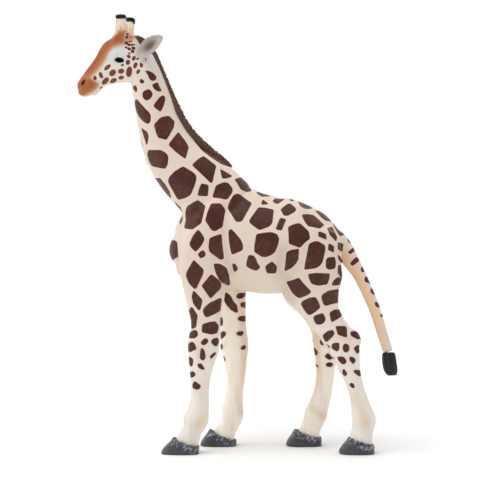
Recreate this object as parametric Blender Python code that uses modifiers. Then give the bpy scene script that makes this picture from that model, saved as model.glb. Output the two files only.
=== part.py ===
"""A moulded giraffe figurine, 217 mm tall, built from its anatomy.

The giraffe faces -X, its left side is -Y and it stands on z = 0. Every number in the tables is in
millimetres, with the floor at FLOOR. Flesh is a set of lofts and muscle lumps fused into one body, which thin blades then part
into head, neck, trunk, tail and legs. Hooves, mane, ears, horns (ossicones), eyes and the tail's tuft
are pieces of their own, each kept a small gap clear of the flesh.
"""

import math

import bmesh
import bpy
from mathutils import Matrix, Vector

MM = 0.001
GAP = 0.32  # clearance between touching pieces
RING_SIDES = 28
STEPS_PER_STATION = 5

FLESH_VOXEL = 0.85
FLESH_SMOOTHING = 7
FLESH_TRIANGLES = 4300

LEG_Y = 11.5  # how far each leg's midline stands from the body's
SIDES = {"left": -1, "right": 1}

# Stations of each loft run from the head end to the tail end, or from the body down to the hoof:
# x, z, half depth in the side view, half width across the body.
NECK = (
    (-48.6, 195.0, 7.1, 5.2),
    (-45.8, 187.5, 7.7, 5.8),
    (-43.4, 179.5, 8.6, 6.2),
    (-41.0, 170.5, 9.6, 6.8),
    (-38.1, 161.5, 11.1, 7.6),
    (-34.3, 152.5, 12.7, 8.8),
    (-27.9, 143.2, 14.4, 10.6),
    (-17.4, 133.6, 16.4, 12.4),
    (-3.6, 122.0, 15.6, 13.5),
)
TRUNK = (
    (-30.6, 100.8, 5.0, 5.0),
    (-27.8, 101.2, 9.8, 9.5),
    (-22.0, 103.6, 15.8, 13.2),
    (-12.0, 107.0, 23.8, 16.0),
    (-2.0, 107.4, 26.2, 17.8),
    (8.0, 105.4, 25.0, 19.6),
    (18.0, 103.9, 24.4, 20.6),
    (28.0, 104.6, 22.6, 19.6),
    (37.0, 104.6, 18.2, 17.2),
    (44.5, 103.4, 13.2, 13.6),
    (50.0, 102.2, 7.8, 8.2),
)
TAIL = (
    (44.0, 108.3, 6.5, 6.0),
    (49.8, 104.8, 6.1, 5.0),
    (54.1, 100.0, 5.1, 3.9),
    (58.1, 94.2, 4.0, 3.3),
    (62.0, 87.4, 3.3, 2.9),
    (65.8, 79.2, 3.2, 2.7),
    (69.1, 71.2, 3.0, 2.6),
    (72.2, 61.2, 2.9, 2.4),
    (75.1, 52.0, 2.8, 2.3),
    (75.5, 50.6, 2.8, 2.3),
)
LEGS = {
    "leg_front_left": (
        (-13.0, 116.0, 9.0, 4.6),
        (-15.4, 106.0, 10.8, 5.4),
        (-16.8, 96.0, 11.4, 5.8),
        (-16.4, 86.9, 10.9, 6.0),
        (-16.1, 77.1, 9.0, 6.0),
        (-15.3, 66.3, 7.3, 5.5),
        (-15.9, 58.8, 7.8, 5.6),
        (-16.5, 53.0, 7.8, 5.6),
        (-17.2, 47.5, 6.7, 5.0),
        (-17.9, 40.4, 5.3, 4.3),
        (-18.1, 33.0, 4.6, 3.9),
        (-18.3, 27.1, 4.8, 4.1),
        (-19.2, 22.2, 5.6, 4.8),
        (-20.3, 18.2, 6.5, 5.2),
        (-21.6, 14.2, 5.1, 4.7),
        (-23.4, 10.0, 5.4, 4.9),
        (-25.4, 5.0, 5.6, 4.6),
    ),
    "leg_front_right": (
        (-9.0, 116.0, 9.0, 4.6),
        (-7.6, 106.0, 10.6, 5.4),
        (-6.0, 96.0, 10.8, 5.8),
        (-4.8, 86.9, 10.0, 6.0),
        (-3.6, 76.0, 8.3, 6.0),
        (-2.2, 64.7, 6.9, 5.4),
        (-1.5, 57.0, 7.1, 5.5),
        (-1.0, 51.6, 7.0, 5.5),
        (-0.8, 45.3, 6.0, 4.9),
        (-0.5, 37.4, 4.9, 4.2),
        (-1.0, 30.0, 4.4, 3.9),
        (-1.6, 24.9, 4.7, 4.1),
        (-2.3, 19.9, 5.6, 4.8),
        (-2.5, 16.0, 5.6, 5.2),
        (-3.8, 12.3, 4.7, 4.7),
        (-6.0, 8.6, 5.4, 4.9),
        (-7.6, 4.0, 5.4, 4.6),
    ),
    "leg_hind_left": (
        (39.5, 112.0, 10.0, 5.0),
        (38.0, 104.0, 13.6, 6.2),
        (36.6, 95.0, 14.8, 6.8),
        (36.8, 87.0, 15.2, 6.8),
        (38.0, 80.6, 13.2, 6.4),
        (39.8, 75.1, 10.8, 6.0),
        (41.9, 70.2, 9.0, 5.4),
        (45.0, 65.6, 8.0, 4.9),
        (48.5, 61.0, 7.4, 4.8),
        (51.8, 56.0, 7.2, 4.9),
        (53.4, 51.0, 7.1, 4.8),
        (54.8, 45.2, 5.7, 4.3),
        (56.5, 39.6, 4.6, 4.0),
        (58.6, 33.0, 4.2, 3.8),
        (60.2, 27.1, 4.5, 4.0),
        (61.3, 22.2, 5.4, 4.7),
        (62.2, 18.3, 6.1, 5.1),
        (61.6, 13.6, 5.4, 4.6),
        (60.9, 9.6, 5.7, 4.9),
        (60.2, 4.0, 5.7, 4.6),
    ),
    "leg_hind_right": (
        (38.5, 112.0, 10.0, 5.0),
        (37.0, 104.0, 13.0, 6.2),
        (35.6, 95.0, 14.0, 6.8),
        (34.6, 87.0, 14.0, 6.8),
        (35.2, 80.0, 11.8, 6.4),
        (38.6, 73.6, 8.8, 6.0),
        (41.4, 67.6, 7.2, 5.4),
        (43.9, 61.6, 6.6, 4.9),
        (45.0, 56.0, 6.8, 5.0),
        (45.4, 50.2, 6.4, 4.8),
        (45.2, 44.0, 5.4, 4.3),
        (44.8, 36.8, 4.8, 4.0),
        (43.8, 29.6, 4.8, 3.9),
        (42.0, 23.4, 5.2, 4.2),
        (40.6, 19.2, 5.8, 4.8),
        (39.3, 15.2, 5.6, 5.1),
        (37.8, 11.6, 5.2, 4.7),
        (36.9, 8.6, 5.4, 4.9),
        (35.4, 4.0, 5.4, 4.6),
    ),
}

# Muscle and bone that swell out of the lofts: x, z, distance out from the midline, radii along the
# form, across it and sideways, and the pitch of the form's long axis above the horizontal.
LUMPS = {
    "breast": (-27.2, 102.2, 2.2, 8.4, 6.6, 7.4, 80),
    "breast_base": (-25.0, 94.2, 1.8, 7.0, 5.5, 5.6, 76),
    "neck_root": (-19.8, 121.2, 4.6, 8.0, 6.5, 7.6, 24),
    "shoulder_front": (-21.5, 112.0, 6.0, 10.0, 5.5, 7.4, 75),
    "shoulder_blade": (-13.0, 115.0, 11.0, 15.0, 8.0, 5.0, 62),
    "shoulder_point": (-17.6, 102.0, 10.5, 13.0, 8.6, 6.2, 80),
    "elbow": (-6.5, 92.0, 11.5, 6.5, 4.5, 4.2, 60),
    "haunch": (36.5, 103.0, 9.5, 17.0, 13.0, 8.2, -48),
    "hip_bone": (29.0, 119.5, 7.5, 7.0, 4.2, 4.6, -8),
    "brisket": (-10.0, 87.0, 2.0, 15.0, 5.5, 7.0, -4),
}
# The same for the joints of each leg, on the leg's own midline: x, z, radii, pitch.
LEG_LUMPS = {
    "stifle_left": (28.0, 86.0, 8.0, 6.0, 4.6, -55),
    "stifle_right": (28.5, 86.0, 7.0, 5.6, 4.6, -55),
    "hock_left": (57.6, 58.6, 5.2, 3.0, 3.0, -62),
    "hock_right": (49.6, 57.5, 4.6, 2.4, 3.0, -75),
    "knee_front_left": (-17.4, 54.0, 5.6, 6.8, 4.8, 90),
    "knee_front_right": (-2.6, 52.4, 5.2, 6.2, 4.8, 90),
}

# The head is drawn in profile, then turned away from the left side about the nape.
HEAD_TIP = Vector((-80.9, 0.0, 182.0))
HEAD_PITCH = math.radians(31.1)
HEAD_YAW = math.radians(15.0)
NAPE = Vector((-46.0, 0.0, 0.0))
# Distance back from the lips, then the height of the profile's top and bottom above the head's own
# axis, and half the width.
SKULL = (
    (-0.1, 1.6, -3.0, 2.4),
    (1.0, 3.0, -4.8, 3.8),
    (3.0, 4.3, -5.3, 4.6),
    (5.4, 5.6, -5.4, 4.9),
    (7.6, 6.5, -5.3, 4.8),
    (10.4, 7.6, -5.1, 4.5),
    (13.4, 8.8, -5.5, 4.7),
    (17.0, 10.3, -6.8, 5.4),
    (20.8, 12.4, -8.6, 6.4),
    (24.4, 14.1, -10.3, 7.1),
    (27.6, 14.7, -11.4, 7.3),
    (31.4, 14.0, -11.4, 7.0),
    (35.6, 12.2, -9.4, 6.4),
    (39.8, 8.8, -5.4, 5.2),
)
# Bone and lip that swell out of the skull: along, up, out, then the three radii and the pitch.
SKULL_LUMPS = {
    "nostril": (3.0, 1.9, 2.6, 3.0, 2.0, 2.0, 30),
    "upper_lip": (3.2, -2.6, 2.0, 3.8, 2.2, 2.6, -8),
    "chin": (7.4, -4.4, 1.0, 3.8, 1.9, 2.7, 16),
    "cheek": (28.0, -5.0, 3.4, 6.2, 5.4, 3.9, -25),
    "brow": (27.6, 4.0, 4.4, 4.2, 2.2, 3.2, -28),
    "horn_root": (33.2, 9.4, 3.2, 4.0, 4.2, 3.4, 80),
}

EYE_AT = (27.6, 0.2, 6.2)
EYE_RADII = (2.3, 1.5, 1.7)
EYE_PITCH = -31.0

HORN_ROOT = (33.2, 9.0, 3.4)
HORN_LEAN = math.radians(-35.0)  # a little back from upright once the head hangs
HORN_SPLAY = math.radians(16.0)
HORN_LENGTH = 10.1
HORN_RADII = (3.7, 2.35)
HORN_TIP_RADIUS = 2.65
HORN_TIP_HEIGHT = 1.8

EAR_ROOT = (37.6, -3.2, 4.0)
EAR_LENGTH = 15.4
EAR_HALF_WIDTH = 4.3
EAR_CUP = 1.5
EAR_WALL = 1.05
# How far each ear swings out from straight back, and how far its tip rises.
EAR_POSE = {"left": (18.0, 31.0, 0.0), "right": (98.0, 28.0, 0.0)}

# The mane's ridge: x, z, half height, half thickness.
MANE = (
    (-51.8, 207.4, 0.9, 1.1),
    (-49.6, 207.0, 1.7, 1.4),
    (-45.9, 204.4, 2.0, 1.5),
    (-41.5, 199.1, 1.6, 1.4),
    (-39.4, 193.4, 1.9, 1.4),
    (-36.8, 186.4, 2.3, 1.4),
    (-33.7, 179.0, 2.4, 1.4),
    (-29.9, 170.8, 2.4, 1.4),
    (-26.1, 163.6, 2.5, 1.4),
    (-20.6, 156.7, 2.6, 1.4),
    (-13.6, 150.2, 2.7, 1.4),
    (-7.4, 145.8, 2.2, 1.2),
    (-3.2, 143.0, 1.0, 0.8),
)

TUFT = (
    (75.8, 50.0, 3.2, 2.5),
    (75.9, 49.2, 3.8, 2.9),
    (76.2, 46.2, 4.1, 3.2),
    (76.7, 42.6, 4.0, 3.0),
    (77.1, 40.4, 3.3, 2.4),
    (77.5, 39.2, 2.1, 1.6),
)

# Where each hoof's toe and heel are, the coronet's height at the front and back, and how far back the
# toe slopes.
HOOVES = {
    "front_left": (-37.0, -18.6, 10.2, 6.5, 1.0),
    "front_right": (-18.6, -0.4, 10.2, 5.8, 0.76),
    "hind_left": (50.1, 67.2, 10.5, 7.0, 0.9),
    "hind_right": (25.0, 43.0, 10.2, 6.8, 0.72),
}
# The tables stand this far above the floor; the finished pieces are lowered onto z = 0.
FLOOR = 2.0
HOOF_HALF_WIDTH = 6.3
# From toe to heel: how far along, the top's height as a share of the coronet's, share of the width.
HOOF_PROFILE = (
    (0.00, 0.28, 0.40),
    (0.03, 0.40, 0.60),
    (0.09, 0.52, 0.77),
    (0.20, 0.72, 0.90),
    (0.36, 0.98, 0.98),
    (0.55, 1.25, 1.00),
    (0.78, 1.20, 0.95),
    (0.91, 1.00, 0.82),
    (0.98, 0.72, 0.60),
    (1.00, 0.50, 0.42),
)
CLEFT_WIDTH = 0.7
CLEFT_DEPTH = 3.2

# Blades that part the flesh: centre x, z, length and pitch in the side view, and span across.
BLADE_SPAN = (-30.0, 30.0)
BLADES = {
    "head": (-48.6, 192.5, 54.0, 74.0, BLADE_SPAN),
    "neck": (-15.6, 128.4, 80.0, 24.0, BLADE_SPAN),
    "tail": (56.4, 96.0, 15.0, 33.0, (-6.0, 6.0)),
}
LEG_BLADES = {
    "front": (-14.0, 86.0, 60.0, -16.0),
    "hind": (38.0, 90.0, 60.0, 26.0),
}
LEG_INNER_Y = 4.2
LEG_INNER_HEIGHT = 26.0

COLOURS = {
    "coat": (0.83, 0.70, 0.60, 0.45),
    "mane": (0.11, 0.055, 0.045, 0.55),
    "tuft": (0.012, 0.011, 0.011, 0.5),
    "horn_tip": (0.018, 0.016, 0.015, 0.5),
    "hoof": (0.085, 0.095, 0.115, 0.45),
    "eye": (0.008, 0.006, 0.005, 0.12),
}


def clear_scene():
    for obj in list(bpy.data.objects):
        bpy.data.objects.remove(obj)


def material(slot):
    """The paint of one slot, made once and then shared."""
    if slot in bpy.data.materials:
        return bpy.data.materials[slot]
    red, green, blue, roughness = COLOURS[slot]
    made = bpy.data.materials.new(slot)
    made.use_nodes = True
    shader = made.node_tree.nodes["Principled BSDF"]
    shader.inputs["Base Color"].default_value = (red, green, blue, 1.0)
    shader.inputs["Roughness"].default_value = roughness
    shader.inputs["Metallic"].default_value = 0.0
    return made


def collection(name):
    made = bpy.data.collections.new(name)
    bpy.context.scene.collection.children.link(made)
    return made


def add_object(name, mesh, where, slot=None):
    obj = bpy.data.objects.new(name, mesh)
    where.objects.link(obj)
    if slot:
        mesh.materials.append(material(slot))
    if where.name in ("tools", "blades"):
        obj.hide_render = True
        obj.display_type = "WIRE"
    return obj


def bm_object(name, bm, where, slot=None):
    mesh = bpy.data.meshes.new(name)
    bmesh.ops.recalc_face_normals(bm, faces=bm.faces)
    bm.to_mesh(mesh)
    bm.free()
    return add_object(name, mesh, where, slot)


def catmull_rom(rows, steps):
    """The rows of a table, with smooth rows worked out between them."""
    last = len(rows) - 1
    found = []
    for i in range(last):
        before, start, end, after = (rows[min(max(k, 0), last)] for k in (i - 1, i, i + 1, i + 2))
        for step in range(steps):
            t = step / steps
            weights = (
                -0.5 * t + t**2 - 0.5 * t**3,
                1 - 2.5 * t**2 + 1.5 * t**3,
                0.5 * t + 2 * t**2 - 1.5 * t**3,
                -0.5 * t**2 + 0.5 * t**3,
            )
            found.append([sum(w * v for w, v in zip(weights, column))
                          for column in zip(before, start, end, after)])
    found.append(list(rows[last]))
    return found


def power(value, exponent):
    """The value raised to a power with its sign kept, which squares off an ellipse's sections."""
    return math.copysign(abs(value) ** exponent, value)


def loft(bm, stations, lateral=0.0, taper=0.0, place=Matrix(), sides=RING_SIDES,
         steps=STEPS_PER_STATION, upright=False, squared=1.0):
    """Adds a closed tube through the stations to bm.

    Taper narrows its upper or rear half, upright keeps every ring vertical and squared flattens the
    sides of the sections.
    """
    rows = catmull_rom(stations, steps)
    rings = []
    for i, (x, z, depth, width) in enumerate(rows):
        ahead, behind = rows[min(i + 1, len(rows) - 1)], rows[max(i - 1, 0)]
        along = Vector((ahead[0] - behind[0], 0.0, ahead[1] - behind[1])).normalized()
        up = Vector((0.0, 0.0, 1.0)) if upright else along.cross(Vector((0.0, 1.0, 0.0)))
        ring = []
        for k in range(sides):
            angle = math.tau * k / sides
            out = width * power(math.cos(angle), squared) * (1 - taper * math.sin(angle))
            point = Vector((x, lateral + out, z)) + up * depth * power(math.sin(angle), squared)
            ring.append(bm.verts.new(place @ point * MM))
        rings.append(ring)
    for ring, after in zip(rings, rings[1:]):
        for k in range(sides):
            m = (k + 1) % sides
            bm.faces.new((ring[k], ring[m], after[m], after[k]))
    bm.faces.new(rings[0])
    bm.faces.new(reversed(rings[-1]))


def ellipsoid(bm, centre, radii, pitch, place=Matrix(), segments=24):
    """Adds an egg shape to bm, pitched in the side view about its own centre."""
    shape = (place @ Matrix.Translation(Vector(centre))
             @ Matrix.Rotation(-math.radians(pitch), 4, "Y")
             @ Matrix.Diagonal((*radii, 1.0)))
    made = bmesh.ops.create_uvsphere(bm, u_segments=segments, v_segments=segments // 2, radius=1.0)
    for vert in made["verts"]:
        vert.co = shape @ vert.co * MM


def head_place():
    """The matrix that takes head coordinates (back from the lips, out, up) to the figurine's own."""
    profile = Matrix.Translation(HEAD_TIP) @ Matrix.Rotation(-HEAD_PITCH, 4, "Y")
    turn = Matrix.Translation(NAPE) @ Matrix.Rotation(-HEAD_YAW, 4, "Z") @ Matrix.Translation(-NAPE)
    return turn @ profile


def box(name, size, place, where):
    """A box of that size in millimetres."""
    bm = bmesh.new()
    bmesh.ops.create_cube(bm, size=1.0, matrix=place @ Matrix.Diagonal((*size, 1.0)))
    bmesh.ops.scale(bm, vec=(MM, MM, MM), verts=bm.verts)
    return bm_object(name, bm, where)


def evaluated_mesh(obj):
    """The object's mesh with its modifiers applied."""
    bpy.context.view_layer.update()
    graph = bpy.context.evaluated_depsgraph_get()
    return bpy.data.meshes.new_from_object(obj.evaluated_get(graph))


def apply_modifiers(obj):
    mesh = evaluated_mesh(obj)
    obj.modifiers.clear()
    obj.data = mesh


def boolean(obj, tool, operation="DIFFERENCE"):
    cut = obj.modifiers.new(operation.title(), "BOOLEAN")
    cut.operation = operation
    cut.object = tool
    apply_modifiers(obj)


def make_flesh(tools):
    """Head, neck, trunk, tail and legs as one smooth body."""
    bm = bmesh.new()
    loft(bm, NECK, taper=0.12)
    loft(bm, TRUNK, taper=0.16)
    loft(bm, TAIL)
    for name, stations in LEGS.items():
        loft(bm, stations, lateral=SIDES[name.split("_")[-1]] * LEG_Y)
    for x, z, out, along, across, sideways, pitch in LUMPS.values():
        for side in SIDES.values():
            ellipsoid(bm, (x, side * out, z), (along, sideways, across), pitch)
    for name, (x, z, along, across, sideways, pitch) in LEG_LUMPS.items():
        side = SIDES[name.split("_")[-1]]
        ellipsoid(bm, (x, side * LEG_Y, z), (along, sideways, across), pitch)
    head = head_place()
    skull = [(s, (top + bottom) / 2, (top - bottom) / 2, width) for s, top, bottom, width in SKULL]
    loft(bm, skull, taper=0.1, place=head)
    for s, up, out, along, across, sideways, pitch in SKULL_LUMPS.values():
        for side in SIDES.values():
            ellipsoid(bm, (s, side * out, up), (along, sideways, across), pitch, place=head)
    flesh = bm_object("flesh", bm, tools)
    fuse = flesh.modifiers.new("Fuse", "REMESH")
    fuse.mode = "VOXEL"
    fuse.voxel_size = FLESH_VOXEL * MM
    smooth = flesh.modifiers.new("Smooth", "SMOOTH")
    smooth.factor = 0.5
    smooth.iterations = FLESH_SMOOTHING
    apply_modifiers(flesh)
    return flesh


def swollen(flesh, tools):
    """The flesh grown by the gap, which clears the room that it needs from its neighbours."""
    grown = add_object("flesh_clearance", flesh.data.copy(), tools)
    push = grown.modifiers.new("Grow", "DISPLACE")
    push.strength = GAP * MM
    push.mid_level = 0.0
    apply_modifiers(grown)
    return grown


def thin_out(flesh):
    """Brings the flesh down to its triangle count, which keeps most of them where it bends most."""
    triangles = flesh.modifiers.new("Triangles", "TRIANGULATE")
    triangles.quad_method = "BEAUTY"
    fewer = flesh.modifiers.new("Fewer", "DECIMATE")
    fewer.ratio = FLESH_TRIANGLES / (2 * len(flesh.data.polygons))
    apply_modifiers(flesh)


def add_blades(blades):
    """Thin slabs where one part of the body ends and the next begins."""
    for name, (x, z, length, pitch, (near, far)) in BLADES.items():
        place = (Matrix.Translation((x, (near + far) / 2, z))
                 @ Matrix.Rotation(-math.radians(pitch), 4, "Y"))
        box("blade_" + name, (length, far - near, GAP), place, blades)
    outer = BLADE_SPAN[1]
    for end, (x, z, length, pitch) in LEG_BLADES.items():
        for side_name, side in SIDES.items():
            slope = Matrix.Translation((x, 0.0, z)) @ Matrix.Rotation(-math.radians(pitch), 4, "Y")
            across = (LEG_INNER_Y + outer) / 2
            top = slope @ Matrix.Translation((0.0, side * across, 0.0))
            box(f"blade_{end}_{side_name}_top", (length, outer - LEG_INNER_Y, GAP), top, blades)
            inner = slope @ Matrix.Translation((0.0, side * LEG_INNER_Y, -LEG_INNER_HEIGHT / 2))
            box(f"blade_{end}_{side_name}_inner", (length, GAP, LEG_INNER_HEIGHT + GAP), inner, blades)


def coronet_plane(toe, heel, front, back):
    """A point on the plane where skin meets hoof, and its normal, which points up the leg."""
    middle = Vector(((toe + heel) / 2, 0.0, (front + back) / 2))
    along = Vector((0.62 * (heel - toe), 0.0, back - front)).normalized()
    return middle, Vector((-along.z, 0.0, along.x))


def trim_feet(flesh):
    """Cuts each leg off flat at its hoof's coronet."""
    for name, (toe, heel, front, back, slope) in HOOVES.items():
        middle, normal = coronet_plane(toe, heel, front, back)
        side = SIDES[name.split("_")[1]]
        reach = 24.0
        turn = Vector((0.0, 0.0, 1.0)).rotation_difference(normal).to_matrix().to_4x4()
        place = (Matrix.Translation(middle + Vector((0.0, side * LEG_Y, 0.0))) @ turn
                 @ Matrix.Translation((0.0, 0.0, -reach / 2)))
        tool = box("trim_" + name, (reach * 1.6, 2 * LEG_Y - 1.0, reach), place, flesh.users_collection[0])
        boolean(flesh, tool)


def part_flesh(flesh, blades, parts):
    """Parts the flesh at the blades, and names each piece by where it lies."""
    cut = flesh.modifiers.new("Blades", "BOOLEAN")
    cut.operand_type = "COLLECTION"
    cut.collection = blades
    apply_modifiers(flesh)
    bm = bmesh.new()
    bm.from_mesh(flesh.data)
    bmesh.ops.remove_doubles(bm, verts=bm.verts, dist=0.00002)
    left = set(bm.verts)
    while left:
        stack = [left.pop()]
        island = set(stack)
        while stack:
            for edge in stack.pop().link_edges:
                for vert in edge.verts:
                    if vert in left:
                        left.discard(vert)
                        island.add(vert)
                        stack.append(vert)
        add_island(island, parts)
    bm.free()


def add_island(island, parts):
    """Makes one loose piece of flesh an object of its own."""
    smallest = 60
    if len(island) < smallest:
        return
    low = [min(v.co[axis] for v in island) / MM for axis in range(3)]
    high = [max(v.co[axis] for v in island) / MM for axis in range(3)]
    name = name_of_piece(low, high)
    bm = bmesh.new()
    copies = {vert: bm.verts.new(vert.co) for vert in island}
    faces = {face for vert in island for face in vert.link_faces}
    for face in sorted(faces, key=lambda f: f.index):
        bm.faces.new([copies[vert] for vert in face.verts])
    obj = bm_object(name, bm, parts, "coat")
    obj.data.shade_smooth()
    obj.data.set_sharp_from_angle(angle=math.radians(50))


def name_of_piece(low, high):
    if high[2] - low[2] > 60 and low[2] < 20:
        end = "front" if (low[0] + high[0]) / 2 < 15 else "hind"
        return f"leg_{end}_" + ("left" if low[1] + high[1] < 0 else "right")
    if low[2] < 60:
        return "tail"
    if high[0] > 30:
        return "trunk"
    return "neck" if low[2] < 150 else "head"


def hoof(name, toe, heel, front, back, slope, tools, parts):
    """A cloven hoof: a low slipper with a flat sole, cut off under the coronet and split at the toe."""
    side = SIDES[name.split("_")[1]]
    length = heel - toe
    stations = []
    for along, height, width in HOOF_PROFILE:
        top = height * front
        x = toe + along * length * (slope if along < 0.5 else 1.0)
        stations.append((x, 0.25 * top, 0.75 * top, HOOF_HALF_WIDTH * width))
    bm = bmesh.new()
    loft(bm, stations, lateral=side * LEG_Y, sides=18, steps=1, upright=True, squared=0.8)
    middle, normal = coronet_plane(toe, heel, front, back)
    planes = ((Vector((0.0, 0.0, FLOOR)), Vector((0.0, 0.0, -1.0))),
              (middle - normal * GAP, normal))
    for point, outward in planes:
        geometry = bm.verts[:] + bm.edges[:] + bm.faces[:]
        cut = bmesh.ops.bisect_plane(bm, geom=geometry, plane_co=point * MM, plane_no=outward,
                                     clear_outer=True)
        rim = [edge for edge in cut["geom_cut"] if isinstance(edge, bmesh.types.BMEdge)]
        bmesh.ops.edgeloop_fill(bm, edges=rim)
    obj = bm_object("hoof_" + name, bm, parts, "hoof")
    wedge = bmesh.new()
    bmesh.ops.create_cube(wedge, size=1.0)
    for vert in wedge.verts:
        narrow = 0.25 if vert.co.x > 0 else 1.0
        vert.co = Vector((toe + (CLEFT_DEPTH if vert.co.x > 0 else -6.0),
                          side * LEG_Y + vert.co.y * CLEFT_WIDTH * 2 * narrow,
                          (vert.co.z + 0.5) * 30.0 - 9.0)) * MM
    tilt = Matrix.Translation((toe * MM, 0.0, 0.0)) @ Matrix.Rotation(math.radians(38), 4, "Y") \
        @ Matrix.Translation((-toe * MM, 0.0, 0.0))
    bmesh.ops.transform(wedge, matrix=tilt, verts=wedge.verts)
    boolean(obj, bm_object("cleft_" + name, wedge, tools))
    return obj


def mane(clearance, parts):
    """The standing ridge of hair from the poll down to the withers."""
    bm = bmesh.new()
    stations = [tuple(row) for row in MANE]
    loft(bm, stations, taper=0.25, sides=10, steps=2)
    obj = bm_object("mane", bm, parts, "mane")
    boolean(obj, clearance)
    return obj


def tail_tuft(parts):
    bm = bmesh.new()
    loft(bm, TUFT, sides=14, steps=2)
    return bm_object("tail_tuft", bm, parts, "tuft")


def horn_place(side):
    """The horn's own axes: z runs up the horn from its root in the skull."""
    return (head_place() @ Matrix.Translation((HORN_ROOT[0], side * HORN_ROOT[2], HORN_ROOT[1]))
            @ Matrix.Rotation(-HORN_LEAN, 4, "Y") @ Matrix.Rotation(-side * HORN_SPLAY, 4, "X"))


def horn(side_name, clearance, parts):
    """One ossicone: a tapered stalk of skin over bone, and its dark, blunt tip."""
    place = horn_place(SIDES[side_name])
    root, crown = HORN_RADII
    bm = bmesh.new()
    made = bmesh.ops.create_cone(bm, cap_ends=True, segments=16, radius1=root, radius2=crown,
                                 depth=HORN_LENGTH)
    for vert in made["verts"]:
        vert.co = place @ (vert.co + Vector((0.0, 0.0, HORN_LENGTH / 2))) * MM
    stalk = bm_object("ossicone_" + side_name, bm, parts, "coat")
    boolean(stalk, clearance)
    bm = bmesh.new()
    made = bmesh.ops.create_cone(bm, cap_ends=True, segments=16, radius1=HORN_TIP_RADIUS,
                                 radius2=HORN_TIP_RADIUS * 0.92, depth=HORN_TIP_HEIGHT)
    lift = HORN_LENGTH + GAP + HORN_TIP_HEIGHT / 2
    for vert in made["verts"]:
        vert.co = place @ (vert.co + Vector((0.0, 0.0, lift))) * MM
    tip = bm_object("ossicone_tip_" + side_name, bm, parts, "horn_tip")
    round_edge = tip.modifiers.new("Round", "BEVEL")
    round_edge.width = 0.6 * MM
    round_edge.segments = 2


def ear(side_name, clearance, parts):
    """A leaf-shaped ear, cupped along its length, with its opening turned out."""
    side = SIDES[side_name]
    swing, rise, twist = (math.radians(angle) for angle in EAR_POSE[side_name])
    rows, columns = 11, 6
    bm = bmesh.new()
    bmesh.ops.create_grid(bm, x_segments=rows - 1, y_segments=columns - 1, size=0.5)
    place = (head_place() @ Matrix.Translation((EAR_ROOT[0], side * EAR_ROOT[2], EAR_ROOT[1]))
             @ Matrix.Rotation(HEAD_PITCH, 4, "Y")
             @ Matrix.Rotation(side * swing, 4, "Z") @ Matrix.Rotation(-rise, 4, "Y")
             @ Matrix.Rotation(side * twist, 4, "X"))
    for vert in bm.verts:
        along, across = vert.co.x + 0.5, 2 * vert.co.y
        spread = EAR_HALF_WIDTH * (0.25 + 0.75 * math.sin(math.pi * (0.10 + along * 0.86)))
        if along > 0.85:
            spread *= math.sqrt(1 - ((along - 0.85) / 0.16) ** 2)
        cup = EAR_CUP * across**2 * spread / EAR_HALF_WIDTH
        bow = -0.9 * along**2
        vert.co = place @ Vector((along * EAR_LENGTH, side * (cup + bow), across * spread)) * MM
    obj = bm_object("ear_" + side_name, bm, parts, "coat")
    wall = obj.modifiers.new("Wall", "SOLIDIFY")
    wall.thickness = EAR_WALL * MM
    wall.offset = 0.0
    apply_modifiers(obj)
    boolean(obj, clearance)
    return obj


def eye(side_name, flesh, tools, parts):
    """An eyeball set in a socket that is cut to clear it."""
    side = SIDES[side_name]
    place = head_place()
    s, up, out = EYE_AT
    for name, grow, where in (("socket_" + side_name, GAP, tools), ("eye_" + side_name, 0.0, parts)):
        bm = bmesh.new()
        ellipsoid(bm, (s, side * out, up), [r + grow for r in EYE_RADII], EYE_PITCH, place=place,
                  segments=14)
        made = bm_object(name, bm, where, "eye")
    made.data.shade_smooth()
    boolean(flesh, bpy.data.objects["socket_" + side_name])


def main():
    clear_scene()
    tools, blades, parts = (collection(name) for name in ("tools", "blades", "giraffe"))
    blades.hide_render = True
    flesh = make_flesh(tools)
    thin_out(flesh)
    clearance = swollen(flesh, tools)
    trim_feet(flesh)
    for side_name in SIDES:
        eye(side_name, flesh, tools, parts)
    add_blades(blades)
    part_flesh(flesh, blades, parts)
    for name, row in HOOVES.items():
        hoof(name, *row, tools, parts)
    mane(clearance, parts)
    tail_tuft(parts)
    for side_name in SIDES:
        horn(side_name, clearance, parts)
        ear(side_name, clearance, parts)
    for obj in parts.objects:
        obj.data.transform(Matrix.Translation((0.0, 0.0, -FLOOR * MM)))


main()
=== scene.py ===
"""A moulded toy giraffe, 217 mm tall: its painted skin and small pieces, built over the packed solids.

The giraffe faces -X, its left side is -Y and it stands on z = 0. The tables are in millimetres.
"""

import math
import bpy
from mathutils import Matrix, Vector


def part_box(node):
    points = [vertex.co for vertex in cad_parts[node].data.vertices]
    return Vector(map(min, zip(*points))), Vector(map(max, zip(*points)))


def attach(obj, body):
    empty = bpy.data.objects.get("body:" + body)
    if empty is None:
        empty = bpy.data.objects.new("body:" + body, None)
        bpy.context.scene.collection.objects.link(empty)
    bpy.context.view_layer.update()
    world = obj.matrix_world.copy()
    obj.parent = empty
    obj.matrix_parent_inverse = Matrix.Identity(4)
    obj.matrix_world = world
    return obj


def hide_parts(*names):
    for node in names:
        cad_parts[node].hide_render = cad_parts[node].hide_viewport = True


bl_info = {
    "name": "Toy Giraffe Finish",
    "version": (1, 0, 0),
    "blender": (4, 5, 0),
    "location": "View3D > Sidebar > Giraffe",
    "description": "Builds the painted skin, hair, horns, eyes and hooves of a moulded toy giraffe",
    "category": "Object",
}

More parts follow.
